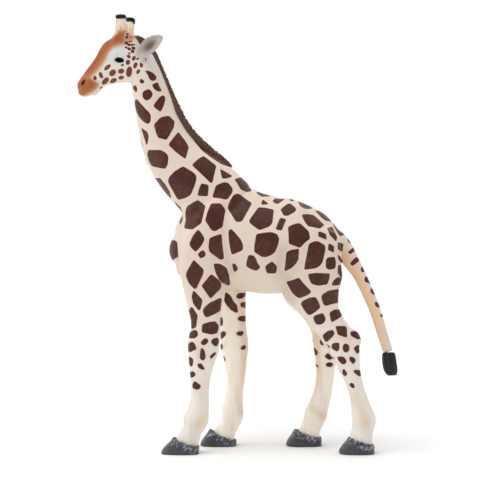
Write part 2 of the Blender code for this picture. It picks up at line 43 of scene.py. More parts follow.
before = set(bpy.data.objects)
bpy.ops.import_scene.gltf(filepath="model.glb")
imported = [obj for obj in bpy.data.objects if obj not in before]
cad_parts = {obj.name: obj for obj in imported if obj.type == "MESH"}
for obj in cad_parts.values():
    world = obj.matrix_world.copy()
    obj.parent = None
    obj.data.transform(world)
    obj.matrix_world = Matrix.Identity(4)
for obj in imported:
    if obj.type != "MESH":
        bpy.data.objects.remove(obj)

import bmesh
import bpy
import numpy as np
from bpy.props import FloatProperty, FloatVectorProperty, IntProperty, PointerProperty
from bpy.types import Operator, Panel, PropertyGroup
from mathutils import Matrix, Vector, noise
from mathutils.bvhtree import BVHTree

MM = 0.001
SIDES = {"left": -1, "right": 1}
LEG_Y = 11.5  # how far each leg's midline stands from the body's


# ---- the shape, as the solids have it
# Stations of each loft run from the head end to the tail end, or from the body down to the hoof:
# x, z, half depth in the side view, half width across the body.
NECK = (
    (-48.6, 195, 7.1, 5.2), (-45.8, 187.5, 7.7, 5.8), (-43.4, 179.5, 8.6, 6.2),
    (-41, 170.5, 9.6, 6.8), (-38.1, 161.5, 11.1, 7.6), (-34.3, 152.5, 12.7, 8.8),
    (-27.9, 143.2, 14.4, 10.6), (-17.4, 133.6, 16.4, 12.4), (-3.6, 122, 15.6, 13.5),
)
TRUNK = (
    (-30.6, 100.8, 5, 5), (-27.8, 101.2, 9.8, 9.5), (-22, 103.6, 15.8, 13.2),
    (-12, 107, 23.8, 16), (-2, 107.4, 26.2, 17.8), (8, 105.4, 25, 19.6),
    (18, 103.9, 24.4, 20.6), (28, 104.6, 22.6, 19.6), (37, 104.6, 18.2, 17.2),
    (44.5, 103.4, 13.2, 13.6), (50, 102.2, 7.8, 8.2),
)
TAIL = (
    (44, 108.3, 6.5, 6), (49.8, 104.8, 6.1, 5), (54.1, 100, 5.1, 3.9), (58.1, 94.2, 4, 3.3),
    (62, 87.4, 3.3, 2.9), (65.8, 79.2, 3.2, 2.7), (69.1, 71.2, 3, 2.6), (72.2, 61.2, 2.9, 2.4),
    (75.1, 52, 2.8, 2.3), (75.5, 50.6, 2.8, 2.3),
)
LEGS = {
    "leg_front_left": (
        (-13, 116, 9, 4.6), (-15.4, 106, 10.8, 5.4), (-16.8, 96, 11.4, 5.8),
        (-16.4, 86.9, 10.9, 6), (-16.1, 77.1, 9, 6), (-15.3, 66.3, 7.3, 5.5),
        (-15.9, 58.8, 7.8, 5.6), (-16.5, 53, 7.8, 5.6), (-17.2, 47.5, 6.7, 5),
        (-17.9, 40.4, 5.3, 4.3), (-18.1, 33, 4.6, 3.9), (-18.3, 27.1, 4.8, 4.1),
        (-19.2, 22.2, 5.6, 4.8), (-20.3, 18.2, 6.5, 5.2), (-21.6, 14.2, 5.1, 4.7),
        (-23.4, 10, 5.4, 4.9), (-25.4, 5, 5.6, 4.6),
    ),
    "leg_front_right": (
        (-9, 116, 9, 4.6), (-7.6, 106, 10.6, 5.4), (-6, 96, 10.8, 5.8),
        (-4.8, 86.9, 10, 6), (-3.6, 76, 8.3, 6), (-2.2, 64.7, 6.9, 5.4), (-1.5, 57, 7.1, 5.5),
        (-1, 51.6, 7, 5.5), (-0.8, 45.3, 6, 4.9), (-0.5, 37.4, 4.9, 4.2), (-1, 30, 4.4, 3.9),
        (-1.6, 24.9, 4.7, 4.1), (-2.3, 19.9, 5.6, 4.8), (-2.5, 16, 5.6, 5.2), (-3.8, 12.3, 4.7, 4.7),
        (-6, 8.6, 5.4, 4.9), (-7.6, 4, 5.4, 4.6),
    ),
    "leg_hind_left": (
        (39.5, 112, 10, 5), (38, 104, 13.6, 6.2), (36.6, 95, 14.8, 6.8),
        (36.8, 87, 15.2, 6.8), (38, 80.6, 13.2, 6.4), (39.8, 75.1, 10.8, 6),
        (41.9, 70.2, 9, 5.4), (45, 65.6, 8, 4.9), (48.5, 61, 7.4, 4.8), (51.8, 56, 7.2, 4.9),
        (53.4, 51, 7.1, 4.8), (54.8, 45.2, 5.7, 4.3), (56.5, 39.6, 4.6, 4), (58.6, 33, 4.2, 3.8),
        (60.2, 27.1, 4.5, 4), (61.3, 22.2, 5.4, 4.7), (62.2, 18.3, 6.1, 5.1), (61.6, 13.6, 5.4, 4.6),
        (60.9, 9.6, 5.7, 4.9), (60.2, 4, 5.7, 4.6),
    ),
    "leg_hind_right": (
        (38.5, 112, 10, 5), (37, 104, 13, 6.2), (35.6, 95, 14, 6.8),
        (34.6, 87, 14, 6.8), (35.2, 80, 11.8, 6.4), (38.6, 73.6, 8.8, 6), (41.4, 67.6, 7.2, 5.4),
        (43.9, 61.6, 6.6, 4.9), (45, 56, 6.8, 5), (45.4, 50.2, 6.4, 4.8), (45.2, 44, 5.4, 4.3),
        (44.8, 36.8, 4.8, 4), (43.8, 29.6, 4.8, 3.9), (42, 23.4, 5.2, 4.2), (40.6, 19.2, 5.8, 4.8),
        (39.3, 15.2, 5.6, 5.1), (37.8, 11.6, 5.2, 4.7), (36.9, 8.6, 5.4, 4.9), (35.4, 4, 5.4, 4.6),
    ),
}

# Muscle and bone that swell out of the lofts: x, z, distance out from the midline, radii along the
# form, across it and sideways, and the pitch of the form's long axis above the horizontal.
LUMPS = {
    "breast": (-27.2, 102.2, 2.2, 8.4, 6.6, 7.4, 80),
    "breast_base": (-25, 94.2, 1.8, 7, 5.5, 5.6, 76),
    "neck_root": (-19.8, 121.2, 4.6, 8, 6.5, 7.6, 24),
    "shoulder_front": (-21.5, 112, 6, 10, 5.5, 7.4, 75),
    "shoulder_blade": (-13, 115, 11, 15, 8, 5, 62),
    "shoulder_point": (-17.6, 102, 10.5, 13, 8.6, 6.2, 80),
    "elbow": (-6.5, 92, 11.5, 6.5, 4.5, 4.2, 60),
    "haunch": (36.5, 103, 9.5, 17, 13, 8.2, -48),
    "hip_bone": (29, 119.5, 7.5, 7, 4.2, 4.6, -8),
    "brisket": (-10, 87, 2, 15, 5.5, 7, -4),
}
# The same for the joints of each leg, on the leg's own midline: x, z, radii, pitch.
LEG_LUMPS = {
    "stifle_left": (28, 86, 8, 6, 4.6, -55),
    "stifle_right": (28.5, 86, 7, 5.6, 4.6, -55),
    "hock_left": (57.6, 58.6, 5.2, 3, 3, -62),
    "hock_right": (49.6, 57.5, 4.6, 2.4, 3, -75),
    "knee_front_left": (-17.4, 54, 5.6, 6.8, 4.8, 90),
    "knee_front_right": (-2.6, 52.4, 5.2, 6.2, 4.8, 90),
}

# The head is drawn in profile, then turned away from the left side about the nape.
HEAD_TIP = Vector((-80.9, 0.0, 182.0))
HEAD_PITCH = math.radians(31.1)
HEAD_YAW = math.radians(15.0)
NAPE = Vector((-46.0, 0.0, 0.0))
# Distance back from the lips, then the height of the profile's top and bottom above the head's own
# axis, and half the width.
SKULL = (
    (-0.1, 1.6, -3, 2.4), (1, 3, -4.8, 3.8), (3, 4.3, -5.3, 4.6), (5.4, 5.6, -5.4, 4.9),
    (7.6, 6.5, -5.3, 4.8), (10.4, 7.6, -5.1, 4.5), (13.4, 8.8, -5.5, 4.7), (17, 10.3, -6.8, 5.4),
    (20.8, 12.4, -8.6, 6.4), (24.4, 14.1, -10.3, 7.1), (27.6, 14.7, -11.4, 7.3),
    (31.4, 14, -11.4, 7), (35.6, 12.2, -9.4, 6.4), (39.8, 8.8, -5.4, 5.2),
)
# Bone and lip that swell out of the skull: along, up, out, then the three radii and the pitch.
SKULL_LUMPS = {
    "nostril": (3, 1.9, 2.6, 3, 2, 2, 30),
    "upper_lip": (3.2, -2.6, 2, 3.8, 2.2, 2.6, -8),
    "chin": (7.4, -4.4, 1, 3.8, 1.9, 2.7, 16),
    "cheek": (28, -5, 3.4, 6.2, 5.4, 3.9, -25),
    "brow": (27.6, 4, 4.4, 4.2, 2.2, 3.2, -28),
    "horn_root": (33.2, 9.4, 3.2, 4, 4.2, 3.4, 80),
}

HORN_ROOT = (33.2, 9.0, 3.4)
HORN_LEAN = math.radians(-35.0)  # a little back from upright once the head hangs
HORN_SPLAY = math.radians(16.0)
HORN_LENGTH = 10.1
HORN_RADII = (3.7, 2.35)
HORN_TIP_RADIUS = 2.65
HORN_TIP_HEIGHT = 1.8

EAR_ROOT = (37.6, -3.2, 4.0)
EAR_LENGTH = 15.4
EAR_HALF_WIDTH = 4.3
EAR_CUP = 1.5
EAR_WALL = 1.15
# How far each ear swings out from straight back, and how far its tip rises.
EAR_POSE = {"left": (18.0, 31.0), "right": (98.0, 28.0)}

# The neck's own ridge, which the mane stands on: x, z, half height, half thickness.
CREST = (
    (-44.4, 199.6, 1.2, 1.6), (-43.3, 198.4, 1.9, 2.4), (-42.5, 196.3, 1.9, 2.6),
    (-40.7, 192.8, 2, 2.6), (-39.2, 189.3, 2, 2.6), (-36.4, 182.2, 2, 2.6),
    (-33.8, 175.2, 1.9, 2.6), (-31.5, 168.1, 1.7, 2.4), (-28.3, 161, 1.2, 1.8),
)
# The mane's ridge: x, z, half height, half thickness.
MANE = (
    (-51.8, 207.4, 0.9, 1.1), (-49.6, 207, 1.7, 1.4), (-45.9, 204.4, 2, 1.5),
    (-41.5, 199.1, 1.6, 1.4), (-39.4, 193.4, 1.9, 1.4), (-36.8, 186.4, 2.3, 1.4),
    (-33.7, 179, 2.4, 1.4), (-29.9, 170.8, 2.4, 1.4), (-26.1, 163.6, 2.5, 1.4),
    (-20.6, 156.7, 2.6, 1.4), (-13.6, 150.2, 2.7, 1.4), (-7.4, 145.8, 2.2, 1.2), (-3.2, 143, 1, 0.8),
)

TUFT = (
    (75.8, 50, 3.2, 2.5), (75.9, 49.2, 3.8, 2.9), (76.2, 46.2, 4.1, 3.2), (76.7, 42.6, 4, 3),
    (77.1, 40.4, 3.3, 2.4), (77.5, 39.2, 2.1, 1.6),
)

# Where each hoof's toe and heel are, the coronet's height at the front and back, and how far back the
# toe slopes.
HOOVES = {
    "front_left": (-37, -18.6, 10.2, 6.5, 1),
    "front_right": (-18.6, -0.4, 10.2, 5.8, 0.76),
    "hind_left": (50.1, 67.2, 10.5, 7, 0.9),
    "hind_right": (25, 43, 10.2, 6.8, 0.72),
}
# The tables stand this far above the floor; the finished pieces are lowered onto z = 0.
FLOOR = 2.0
HOOF_HALF_WIDTH = 6.3
# From toe to heel: how far along, the top's height as a share of the coronet's, share of the width.
HOOF_PROFILE = (
    (0.00, 0.28, 0.40), (0.03, 0.40, 0.60), (0.09, 0.52, 0.77), (0.20, 0.72, 0.90), (0.36, 0.98, 0.98),
    (0.55, 1.25, 1.00), (0.78, 1.20, 0.95), (0.91, 1.00, 0.82), (0.98, 0.72, 0.60), (1.00, 0.50, 0.42),
)
# The wedge that splits each hoof: how far ahead of the toe and behind it the wedge reaches, its
# widths there, its height, how far under the toe it starts, and how far it leans back.
CLEFT_REACH = (-6.0, 3.2)
CLEFT_WIDTHS = (1.4, 0.35)
CLEFT_HEIGHT, CLEFT_DROP = 30.0, 9.0
CLEFT_LEAN = math.radians(38)
HOOF_GRAIN = 0.32  # spacing of the hooves' mesh


# ---- the painted markings
# Outlines are drawn flat, as they look from a point straight out from the left side. Each table is
# drawn on an upright card at its own Y, and a corner past the edge of the form wraps on round it. A
# patch is one row of corners: x, z, x, z and so on.
SIGHT = Vector((1.5, -600.0, 106.5))
MANE_CARD, FACE_CARD, NECK_CARD, BODY_CARD, RUMP_CARD = -2.5, -3.6, -8.4, -15.6, -16.8

# Round spots: x, z, length, width and turn in degrees (rising towards the tail).
FACE_SPOTS = (
    (-64.4, 192.3, 4.1, 1.9, 40), (-61.8, 189.6, 3.8, 2.9, 45), (-57.6, 190.4, 3.2, 2.5, 15),
    (-53.6, 190.1, 5.5, 2.8, 82), (-65.4, 185.5, 4.4, 2.4, 47), (-61.4, 185.7, 3.7, 2.1, 27),
    (-57.5, 187.2, 2.9, 1.9, 18), (-67.6, 188.4, 3.4, 1.8, 112), (-70.6, 187, 2.3, 1.6, 100),
    (-67.4, 182.2, 1.8, 0.8, 35), (-54.2, 194.8, 2.6, 2.1, 80), (-56.9, 193.4, 1.5, 1.1, 30),
)
JAW_SPOTS = (
    (-49.1, 190.2, 2.6, 1.6, 60), (-50.5, 193.3, 3.2, 1.9, 68), (-47.5, 193.9, 3.6, 1.7, 92),
    (-45.7, 195.7, 2.4, 1.2, 75), (-51.3, 196.8, 2.6, 1.7, 65), (-49.4, 196.6, 1.5, 1.1, 30),
)
TEMPLE_SPOTS = (
    (-53.8, 197.7, 2.30, 1.65, 140), (-53.5, 199.3, 1.20, 1.05, 0), (-51.9, 200.2, 2.00, 1.65, 150),
    (-53.6, 201.5, 2.00, 1.55, 160), (-51.5, 201.9, 2.20, 1.65, 155), (-55.1, 202.2, 1.40, 1.15, 0),
    (-53.7, 203.5, 1.70, 1.45, 0), (-52.2, 203.5, 1.60, 1.25, 25), (-51, 203.7, 1.00, 0.90, 0),
    (-55, 204.4, 2.10, 1.55, 20), (-53.4, 205.1, 0.95, 0.85, 0), (-52.5, 205.3, 0.95, 0.85, 0),
    (-54.7, 207.3, 1.90, 1.55, 40), (-54.5, 208.8, 1.50, 1.05, 0),
)
NECK_PATCHES = (
    (-45.5, 189.9, -43.4, 190, -41, 188.6, -39.5, 186.9, -40.2, 185.1, -42, 184.8, -43.3, 186, -44, 188),
    (-47.6, 186.2, -45.6, 185.1, -45.9, 183.5, -47.5, 183.6, -48.2, 185.1),
    (-50.1, 183, -49.3, 182, -49, 180.3, -49.6, 179.2, -50.7, 180.3, -51.4, 181.8),
    (-38.9, 184.4, -38.4, 182.5, -36.9, 179.9, -38.9, 179.6, -41, 181, -42, 183.2),
    (-43.4, 181, -41.8, 179.6, -41.5, 177.9, -42.7, 176, -44.6, 175.1, -46.2, 176.3, -46.8, 178.2,
     -46.2, 179.9),
    (-36.5, 178, -35.4, 177.2, -35.3, 175.4, -36.1, 172.7, -37.3, 170.1, -37.9, 169.7, -41.3, 172.3,
     -40.8, 173.5, -38.2, 177),
    (-49.3, 176.1, -45.8, 172, -43, 169.2, -42.4, 167.5, -42.6, 164.7, -43.7, 163.6, -45.8, 164.5,
     -48.2, 167.1, -49.4, 169.5, -50.4, 173, -50.4, 175.1),
    (-33.5, 167.8, -30.6, 164.9, -31.3, 161.6, -34.7, 155.7, -38.9, 156.9, -39.9, 159.2, -41, 163.5,
     -37.5, 167.1),
    (-47.3, 162, -44.3, 160, -43.5, 158.1, -43.7, 155.4, -44.5, 152.9, -45.3, 155.4, -46.5, 159.2),
    (-28.9, 159.9, -25.1, 155, -23.7, 152.2, -24.4, 149.8, -25.4, 146.3, -30.1, 149.8, -33.9, 153.5),
    (-43.7, 150.9, -37.5, 150.9, -34.7, 149.3, -33.7, 147.4, -34.1, 143.6, -35.4, 141.5, -42, 142.9,
     -43.4, 145.3, -44.3, 148.8),
    (-48.2, 159.4, -47, 154.6, -46.2, 151, -50, 150.6, -52.4, 154.6, -52, 158.8),
    (-45.3, 147.5, -44.6, 146.3, -43.4, 143, -47, 141, -49, 144.6, -47.6, 148),
    (-30.7, 125.6, -28.6, 123.4, -27, 119.8, -26.8, 116.8, -28, 113.8, -31.5, 114, -33.5, 118,
     -33.2, 123.5),
    (-41.9, 139.4, -38, 137.2, -35.2, 133.8, -33.2, 130.5, -32, 127, -36.5, 126.5, -41, 132, -43.5, 137),
)
FLANK_PATCHES = (
    (-16.2, 147.5, -10, 142.6, -11, 138.5, -11.9, 134.3, -12.8, 134.2, -22, 143, -19.5, 145.5),
    (-8.3, 141.3, -2, 137.6, -4, 136.7, -6.8, 136.2, -7.5, 137.5),
    (-26.3, 142.5, -21.4, 139.6, -19.7, 137.9, -19.8, 135.4, -20.9, 132, -22.5, 128.4, -25.1, 126.9,
     -28.4, 126, -29.3, 126.9, -33.6, 134.8, -33.2, 137, -30.4, 139.9),
    (-17.3, 134.2, -13.7, 133.3, -14.1, 127.7, -19.3, 128, -18.4, 131.7),
    (-6.5, 134.7, -4.4, 134.5, -2, 131.7, -2.1, 129.7, -4.8, 126, -12.1, 127.2, -11.1, 130.5,
     -10.2, 133.1),
    (-1.3, 136.1, 2.5, 138.5, 6.5, 136.5, 7.4, 131.4, 6.9, 130.2, 4.7, 129.8, 1.9, 130.9, 0.4, 133.6),
    (-0.2, 129.2, 1.9, 128.6, 7.4, 124.4, 6.3, 122.4, 2.5, 115.6, 1.3, 115.2, -0.6, 115.4, -1.5, 117.1,
     -4.6, 122.2, -3.7, 124.9, -2.1, 128),
    (-19, 126.1, -15.2, 123, -17.3, 114.6, -21.7, 111.5, -25.7, 112.1, -25.1, 117.7, -24.5, 122.7,
     -21.7, 124.6),
    (-12.4, 124.4, -7.7, 124.3, -5.5, 121.1, -6.2, 117.7, -6.9, 112.8, -10.8, 110.6, -12.4, 111.2,
     -15.5, 115.9, -14.5, 119.9, -13.1, 123.3),
    (-2.7, 112, -0.2, 109.3, 1.9, 106.8, 3, 104.2, 3, 101.7, 1, 100.6, -2.5, 99.2, -3.4, 102.5,
     -4.2, 109, -4.1, 111.4),
    (-13.4, 107.5, -10.6, 108.6, -7.5, 109.6, -7, 104, -6.2, 97.2, -8.1, 96.7, -10.2, 98.3, -13.4, 100.7,
     -13.9, 103),
    (-18.9, 111.8, -17, 109.5, -15.7, 107.4, -16.4, 105, -18, 102.8, -20.1, 100.6, -22.1, 102.4,
     -23.3, 104.6, -21.5, 108.6),
    (-16.5, 101.9, -15, 99.7, -15.8, 98.2, -17.7, 97.4, -19.3, 99.6),
    (-31.8, 107.2, -30, 106.4, -28.8, 105.2, -28.7, 102, -28.3, 98.3, -30.6, 95.3, -32, 97.6,
     -33.3, 100.8, -34.3, 103.8, -33.4, 106.2),
    (5.6, 99.3, 8.3, 99, 9.4, 97.2, 10.3, 94.9, 11.6, 93.3, 9.6, 91.4, 6.8, 92.3, 4.4, 93.7, 4.8, 96.5),
    (-2.3, 95.1, -1, 95.2, 0.8, 92.5, -0.4, 91.3, -1.3, 90.6, -2, 92.5),
)
RUMP_PATCHES = (
    (9.3, 129.4, 9.5, 135, 15.5, 134, 16.4, 127.6, 12, 127.5),
    (12.7, 126.3, 15.6, 123.9, 11.8, 123.5, 12.2, 125.7),
    (18.7, 126.9, 23.6, 126.4, 21.5, 125, 19.7, 123.9, 18, 124.6, 17.3, 125.4),
    (25.4, 126, 24.8, 130.5, 28.6, 131, 28.1, 125.8, 26.7, 125),
    (29.3, 125.4, 31, 130, 37, 126.5, 36.8, 121.7, 33, 121.6, 31, 122.6),
    (37.8, 120.6, 40, 124.4, 46.4, 118.5, 46.1, 115.2, 43.3, 115.6, 41, 117.4),
    (10.4, 122.5, 14, 122.2, 18, 121.3, 17.6, 118, 17.3, 114.8, 15.8, 113, 11.3, 111.3, 10.2, 111.6,
     5.9, 115, 6.2, 116.5, 8.4, 119.6),
    (25, 124.4, 26.6, 124, 28.9, 121.5, 28.3, 120.2, 24.8, 118.2, 22.7, 118.3, 21.1, 121.3),
    (20.9, 117.2, 21.8, 117.3, 24.1, 116.5, 22.9, 113.9, 21.9, 111, 18.7, 111.6, 20, 115),
    (31.4, 118.8, 34, 119.2, 37.2, 118.7, 40, 116.3, 42.6, 113.8, 40.3, 111.9, 34.6, 113.1, 33, 115.2),
    (30, 114.8, 31.2, 114.3, 35, 110.7, 35.6, 107, 33.5, 105.6, 30.7, 102.6, 25.2, 104.6, 24.8, 112.9,
     27, 114),
    (44.2, 98.1, 47.6, 98.4, 48.2, 95.6, 47.8, 92.6, 45, 92, 43.2, 92.8, 43.2, 97.1),
    (39.2, 106.1, 42.8, 104, 43.1, 102, 41.7, 95.8, 40.5, 94, 38.5, 92.8, 32.6, 91.9, 33.1, 95.2,
     34.9, 104.6, 37, 105.7),
    (23.9, 100.5, 26, 101.7, 30.2, 102.3, 29.9, 97, 28.8, 95, 26.5, 92.8, 23, 91.1, 23.5, 95.5),
    (17, 96.3, 19.6, 93.8, 19.1, 90.2, 14.5, 90.3, 13.6, 93.8),
    (9.4, 109.4, 13, 110.1, 16.8, 110.4, 19.6, 109.4, 20.6, 107, 20, 104.2, 18.8, 100.8, 16.8, 99.1,
     14, 98.1, 12, 98.2, 9.8, 99.8, 8.3, 100.7, 8.5, 104),
)
THIGH_PATCHES = (
    (34.5, 90, 38.7, 90.5, 45.3, 90.2, 45, 87.4, 44, 84.8, 39.5, 84.2, 36.3, 85.1, 35.1, 87.4),
    (48.9, 88.6, 51.5, 88, 52.4, 86, 51.2, 84.4, 45.9, 84.3, 46.8, 86.6),
    (30.2, 88.3, 31.8, 86.2, 36.4, 81.3, 34.7, 79.8, 30.6, 78.1, 29.4, 78.5, 27, 80.6, 25.5, 83.2,
     23.8, 86.1, 27.4, 87.1),
    (41.9, 80.3, 44.4, 81.8, 49.1, 82.8, 51, 82.4, 51.4, 78, 49.6, 76.1, 46.8, 75.4, 42.9, 74.3,
     41.7, 75.7, 41, 79),
    (32.2, 77, 35.5, 78.5, 38.3, 78.8, 39.5, 77, 40.8, 73.7, 37.9, 71.2, 35.5, 69.8, 34.4, 70.3,
     32.6, 72.5, 31, 75.5),
    (45.1, 71.3, 47.6, 72.7, 50.6, 73.4, 51.6, 70.6, 50.6, 69, 48.4, 67.6, 46, 66.3, 45.4, 68.9),
    (37, 68.9, 38, 69.8, 41.9, 71.1, 42.8, 69.3, 43.3, 67.7, 42.3, 66, 40.3, 65.1, 38.6, 65.4,
     37.5, 67.2),
    (48, 64.6, 53, 64.6, 53.5, 63.6, 53.7, 58.8, 50.8, 59.7, 49, 60.4, 48.6, 62),
    (41.7, 59.7, 42.3, 60.8, 44.4, 62.3, 46.8, 62.8, 47.7, 60.9, 46.4, 59.1, 43.8, 56.8, 42.7, 57.2),
    (55, 61.2, 55.9, 62.2, 58.6, 61.8, 61.2, 59.6, 60.6, 58, 58.9, 57.9, 55.6, 59.7),
    (46.2, 55.7, 47.4, 56.5, 50, 56.5, 49.9, 53.1, 48.8, 52, 46, 53.8),
    (52.8, 56.4, 54.6, 55.3, 54.9, 53.1, 53.5, 51.4, 51.8, 52.2, 51.3, 54.8),
    (58.9, 55.6, 61.4, 54.8, 61.6, 51.6, 58.3, 50.9, 56.6, 53.9),
    (48.7, 49.8, 52, 49.8, 53.6, 47.6, 52.8, 46, 51.2, 45.9, 49.4, 47.7),
    (54.8, 50, 57.3, 49.2, 58, 47.7, 56.6, 45.8, 54.7, 48),
    (52, 44, 54, 41.4, 52.8, 39.9, 51.3, 41.2, 51.4, 43),
    (56.8, 43.3, 61, 43.8, 60.8, 40.4, 59.4, 39.9, 56.7, 42.3),
    (55.1, 37, 56.5, 37, 57.6, 35, 56.7, 33.9, 54.7, 35.7),
)
FORELEG_PATCHES = (
    (-21.1, 96.9, -20.2, 96.2, -16.3, 92.3, -16.1, 90.8, -17, 88.6, -19.7, 82.7, -20.8, 82.6,
     -23.4, 85.3, -24.8, 88.7, -24.8, 90.4, -23.1, 93.6),
    (-12.7, 89.9, -11.8, 89.5, -8.8, 87, -7.4, 85, -7.8, 82.9, -10.2, 80.5, -12.9, 77.8, -17.4, 84.2),
    (-21.4, 81.9, -20.6, 81.6, -16.7, 77.4, -16.9, 75.9, -18, 71.9, -19.2, 72.7, -21.4, 75.7,
     -22.1, 78.8),
    (-8.4, 78.4, -7.3, 77.6, -6.8, 75.3, -7.2, 72.7, -10.2, 70.8, -14.9, 68.7, -15.9, 69.5, -16.7, 72,
     -16.3, 73.3, -13.6, 75.9),
    (-22.2, 74.1, -21.3, 73.5, -19, 69.8, -19.5, 67.2, -19.9, 63.9, -22, 63, -25, 64.5, -26, 69.3,
     -25, 73.6),
    (-17, 65.4, -14, 66.5, -10.8, 67, -10.2, 66.6, -8.6, 64.4, -9.6, 61.1, -12.5, 60.4, -17.2, 61.5),
    (-21.4, 62.6, -19.8, 62.8, -18.8, 61.2, -19.3, 59.4, -21, 58.4, -25, 57.6, -25.4, 60.4),
    (-21.7, 57.2, -20.4, 55.9, -19.5, 53.3, -22.8, 51.7, -25.2, 52.6, -25.6, 56),
    (-17.9, 56.5, -16.5, 58.2, -15, 58.9, -13.7, 57.7, -14.4, 56.1, -16.4, 54.9),
    (-12.7, 57.4, -11.3, 58.7, -9.4, 59, -8.6, 57.4, -9.5, 54.9, -10.8, 54.7, -12.3, 56),
    (-17.4, 54.4, -15.8, 52.9, -15.2, 50.5, -15.4, 48.4, -16.6, 47.6, -18.1, 48.7, -18, 51.5),
    (-13.4, 49.8, -12, 51.2, -10.6, 52.1, -10, 51.2, -11.4, 49.6, -12.8, 48.3),
    (-23.3, 49.9, -21.7, 49.2, -21.1, 47.9, -21.7, 44.8, -22.6, 44.9, -25, 46, -25.4, 49),
    (-18.6, 46.7, -17.2, 46.3, -15.5, 43.7, -16.2, 43.1, -18.4, 43.9, -19.4, 45.4),
    (-21.4, 42.8, -20, 41.5, -20.4, 40.1, -22.3, 39.2, -23.4, 40.2, -22.9, 42),
    (-20.4, 37.9, -17.5, 35.8, -17.7, 34.5, -18.7, 33.5, -21.2, 34, -21.8, 35.1, -21.5, 36.9),
)
# The patch behind the left elbow.
ELBOW_PATCHES = (
    (-11.6, 95, -8.4, 95.1, -5, 93, -3.8, 89.5, -3.2, 84.8, -4, 84.2, -7.2, 85.6, -8.6, 87.2,
     -10.2, 90),
)
# The mane's brown runs down onto the neck at its lower end.
MANE_FOOT = (
    (-24.8, 160.4, -21, 155.2, -17.2, 150.8, -13.2, 147.8, -7.6, 144.1, -2.2, 142.4, -2.4, 145.4,
     -7.6, 150.5, -15.6, 157, -22.6, 163),
)
# The inner faces of the legs, drawn as they show on the right legs.
INNER_FORELEG_PATCHES = (
    (-5.5, 81.3, -3.3, 79.7, -2.3, 78.2, -1.8, 76.8, 0.1, 74.8, 0.6, 71.4, -0.4, 70.9, -3, 72.4,
     -5.4, 75.3, -6.3, 77.2),
    (-0.4, 79, 0.3, 80.4, 1.5, 80.8, 4.4, 80.8, 4, 78.9, 2.3, 77.9, 0.1, 77.9),
    (1.4, 75.1, 2.2, 76.2, 5.4, 76.4, 5.4, 72.8, 1.9, 74),
    (1.1, 69.4, 5.2, 69.8, 5, 67.1, 3.2, 66.6, 0.8, 67.2, 0.2, 68.1),
    (-0.6, 60.6, 0.4, 62, 3.2, 62.2, 3.3, 60.8, 1.8, 59.5),
    (1.6, 53.2, 1.8, 54.2, 3.6, 55.6, 4.7, 54.5, 3.6, 52.9),
    (-7.3, 69.2, -6.7, 67.1, -7.1, 64.6, -9, 65, -9, 68.6),
    (-7.6, 61.7, -6.4, 62.3, -5.1, 61.2, -5.8, 59.6, -8.6, 57.4, -9.4, 59.5),
    (-8.2, 56.2, -6.9, 55.6, -6.8, 54, -7.4, 53, -9.4, 53.6),
    (-6.9, 50.2, -6, 49.7, -5.4, 47.8, -6.4, 47.2, -8, 48.8),
)
INNER_THIGH_PATCHES = (
    (40.4, 58.5, 42.8, 54.9, 40.9, 55.3, 40.3, 56.8),
    (44.6, 51.5, 46.9, 48.8, 44.9, 48, 42.7, 49.4, 43.2, 50.8),
    (43, 45.8, 44, 46.9, 46, 46.9, 47.2, 46, 46, 44.6, 44, 44.6),
    (37.6, 54.4, 39.5, 52.2, 39.4, 50.6, 38.3, 50.2, 36.4, 51, 36, 53.6),
    (38.2, 46.6, 39.6, 45.4, 40.4, 43.8, 38.9, 44.8, 37, 45),
    (36.5, 59.4, 37.3, 56.7, 35.6, 57, 35, 59),
)
TAIL_PATCHES = (
    (39.5, 111, 43.2, 109.6, 43.9, 106.5, 39.5, 108.1),
    (43.7, 112.3, 46.3, 113, 47.6, 110.5, 48.8, 107.8, 48.2, 105.6, 45.1, 109),
    (46.6, 114.4, 49, 116.5, 53.5, 111.5, 51.9, 108.7, 49.9, 108.4, 48.4, 110.6),
    (44.6, 105.1, 47.3, 103.5, 47.2, 100.2, 44.1, 101.7),
    (49, 105.6, 51.9, 104.6, 51.1, 100.5, 48.9, 102.1),
    (48.9, 99.6, 50.2, 98.6, 51.8, 95.8, 50.4, 95.4, 49.2, 97.4),
    (49.2, 94.5, 52.5, 94, 53.2, 89.4, 50.6, 88, 48.9, 90.6),
    (53.4, 107, 54.4, 105, 55.6, 104.6, 56.4, 106.4, 55, 108),
    (56.3, 102.9, 57.6, 102.6, 57.4, 101.2, 55.1, 99.5, 53.8, 100.5),
    (57.4, 98, 58.6, 98.3, 59.7, 96.4, 56.2, 93.8, 54.8, 95),
    (61.2, 94.1, 63.4, 93, 62.6, 91, 60.5, 90.8, 60, 92.6),
    (62.8, 89.1, 65.4, 87.6, 64.7, 85.2, 62.2, 86.2, 61.8, 87.7),
    (65.2, 83.3, 67.6, 81.6, 66.8, 79.5, 65.3, 80.6, 64.7, 82),
    (66.8, 75.9, 67.5, 76.7, 69.6, 75, 69, 73.4, 67.6, 74),
    (69.4, 70.4, 70.6, 70.6, 70.9, 68.8, 70, 69),
)


# ---- mesh helpers


def catmull_rom(rows, steps):
    """The rows of a table, with smooth rows worked out between them."""
    last = len(rows) - 1
    found = []
    for i in range(last):
        before, start, end, after = (rows[min(max(k, 0), last)] for k in (i - 1, i, i + 1, i + 2))
        for step in range(steps):
            t = step / steps
            weights = (-0.5 * t + t**2 - 0.5 * t**3, 1 - 2.5 * t**2 + 1.5 * t**3,
                       0.5 * t + 2 * t**2 - 1.5 * t**3, -0.5 * t**2 + 0.5 * t**3)
            found.append([sum(w * v for w, v in zip(weights, column))
                          for column in zip(before, start, end, after)])
    found.append(list(rows[last]))
    return found


def power(value, exponent):
    """The value raised to a power with its sign kept, which squares off an ellipse's sections."""
    return math.copysign(abs(value) ** exponent, value)


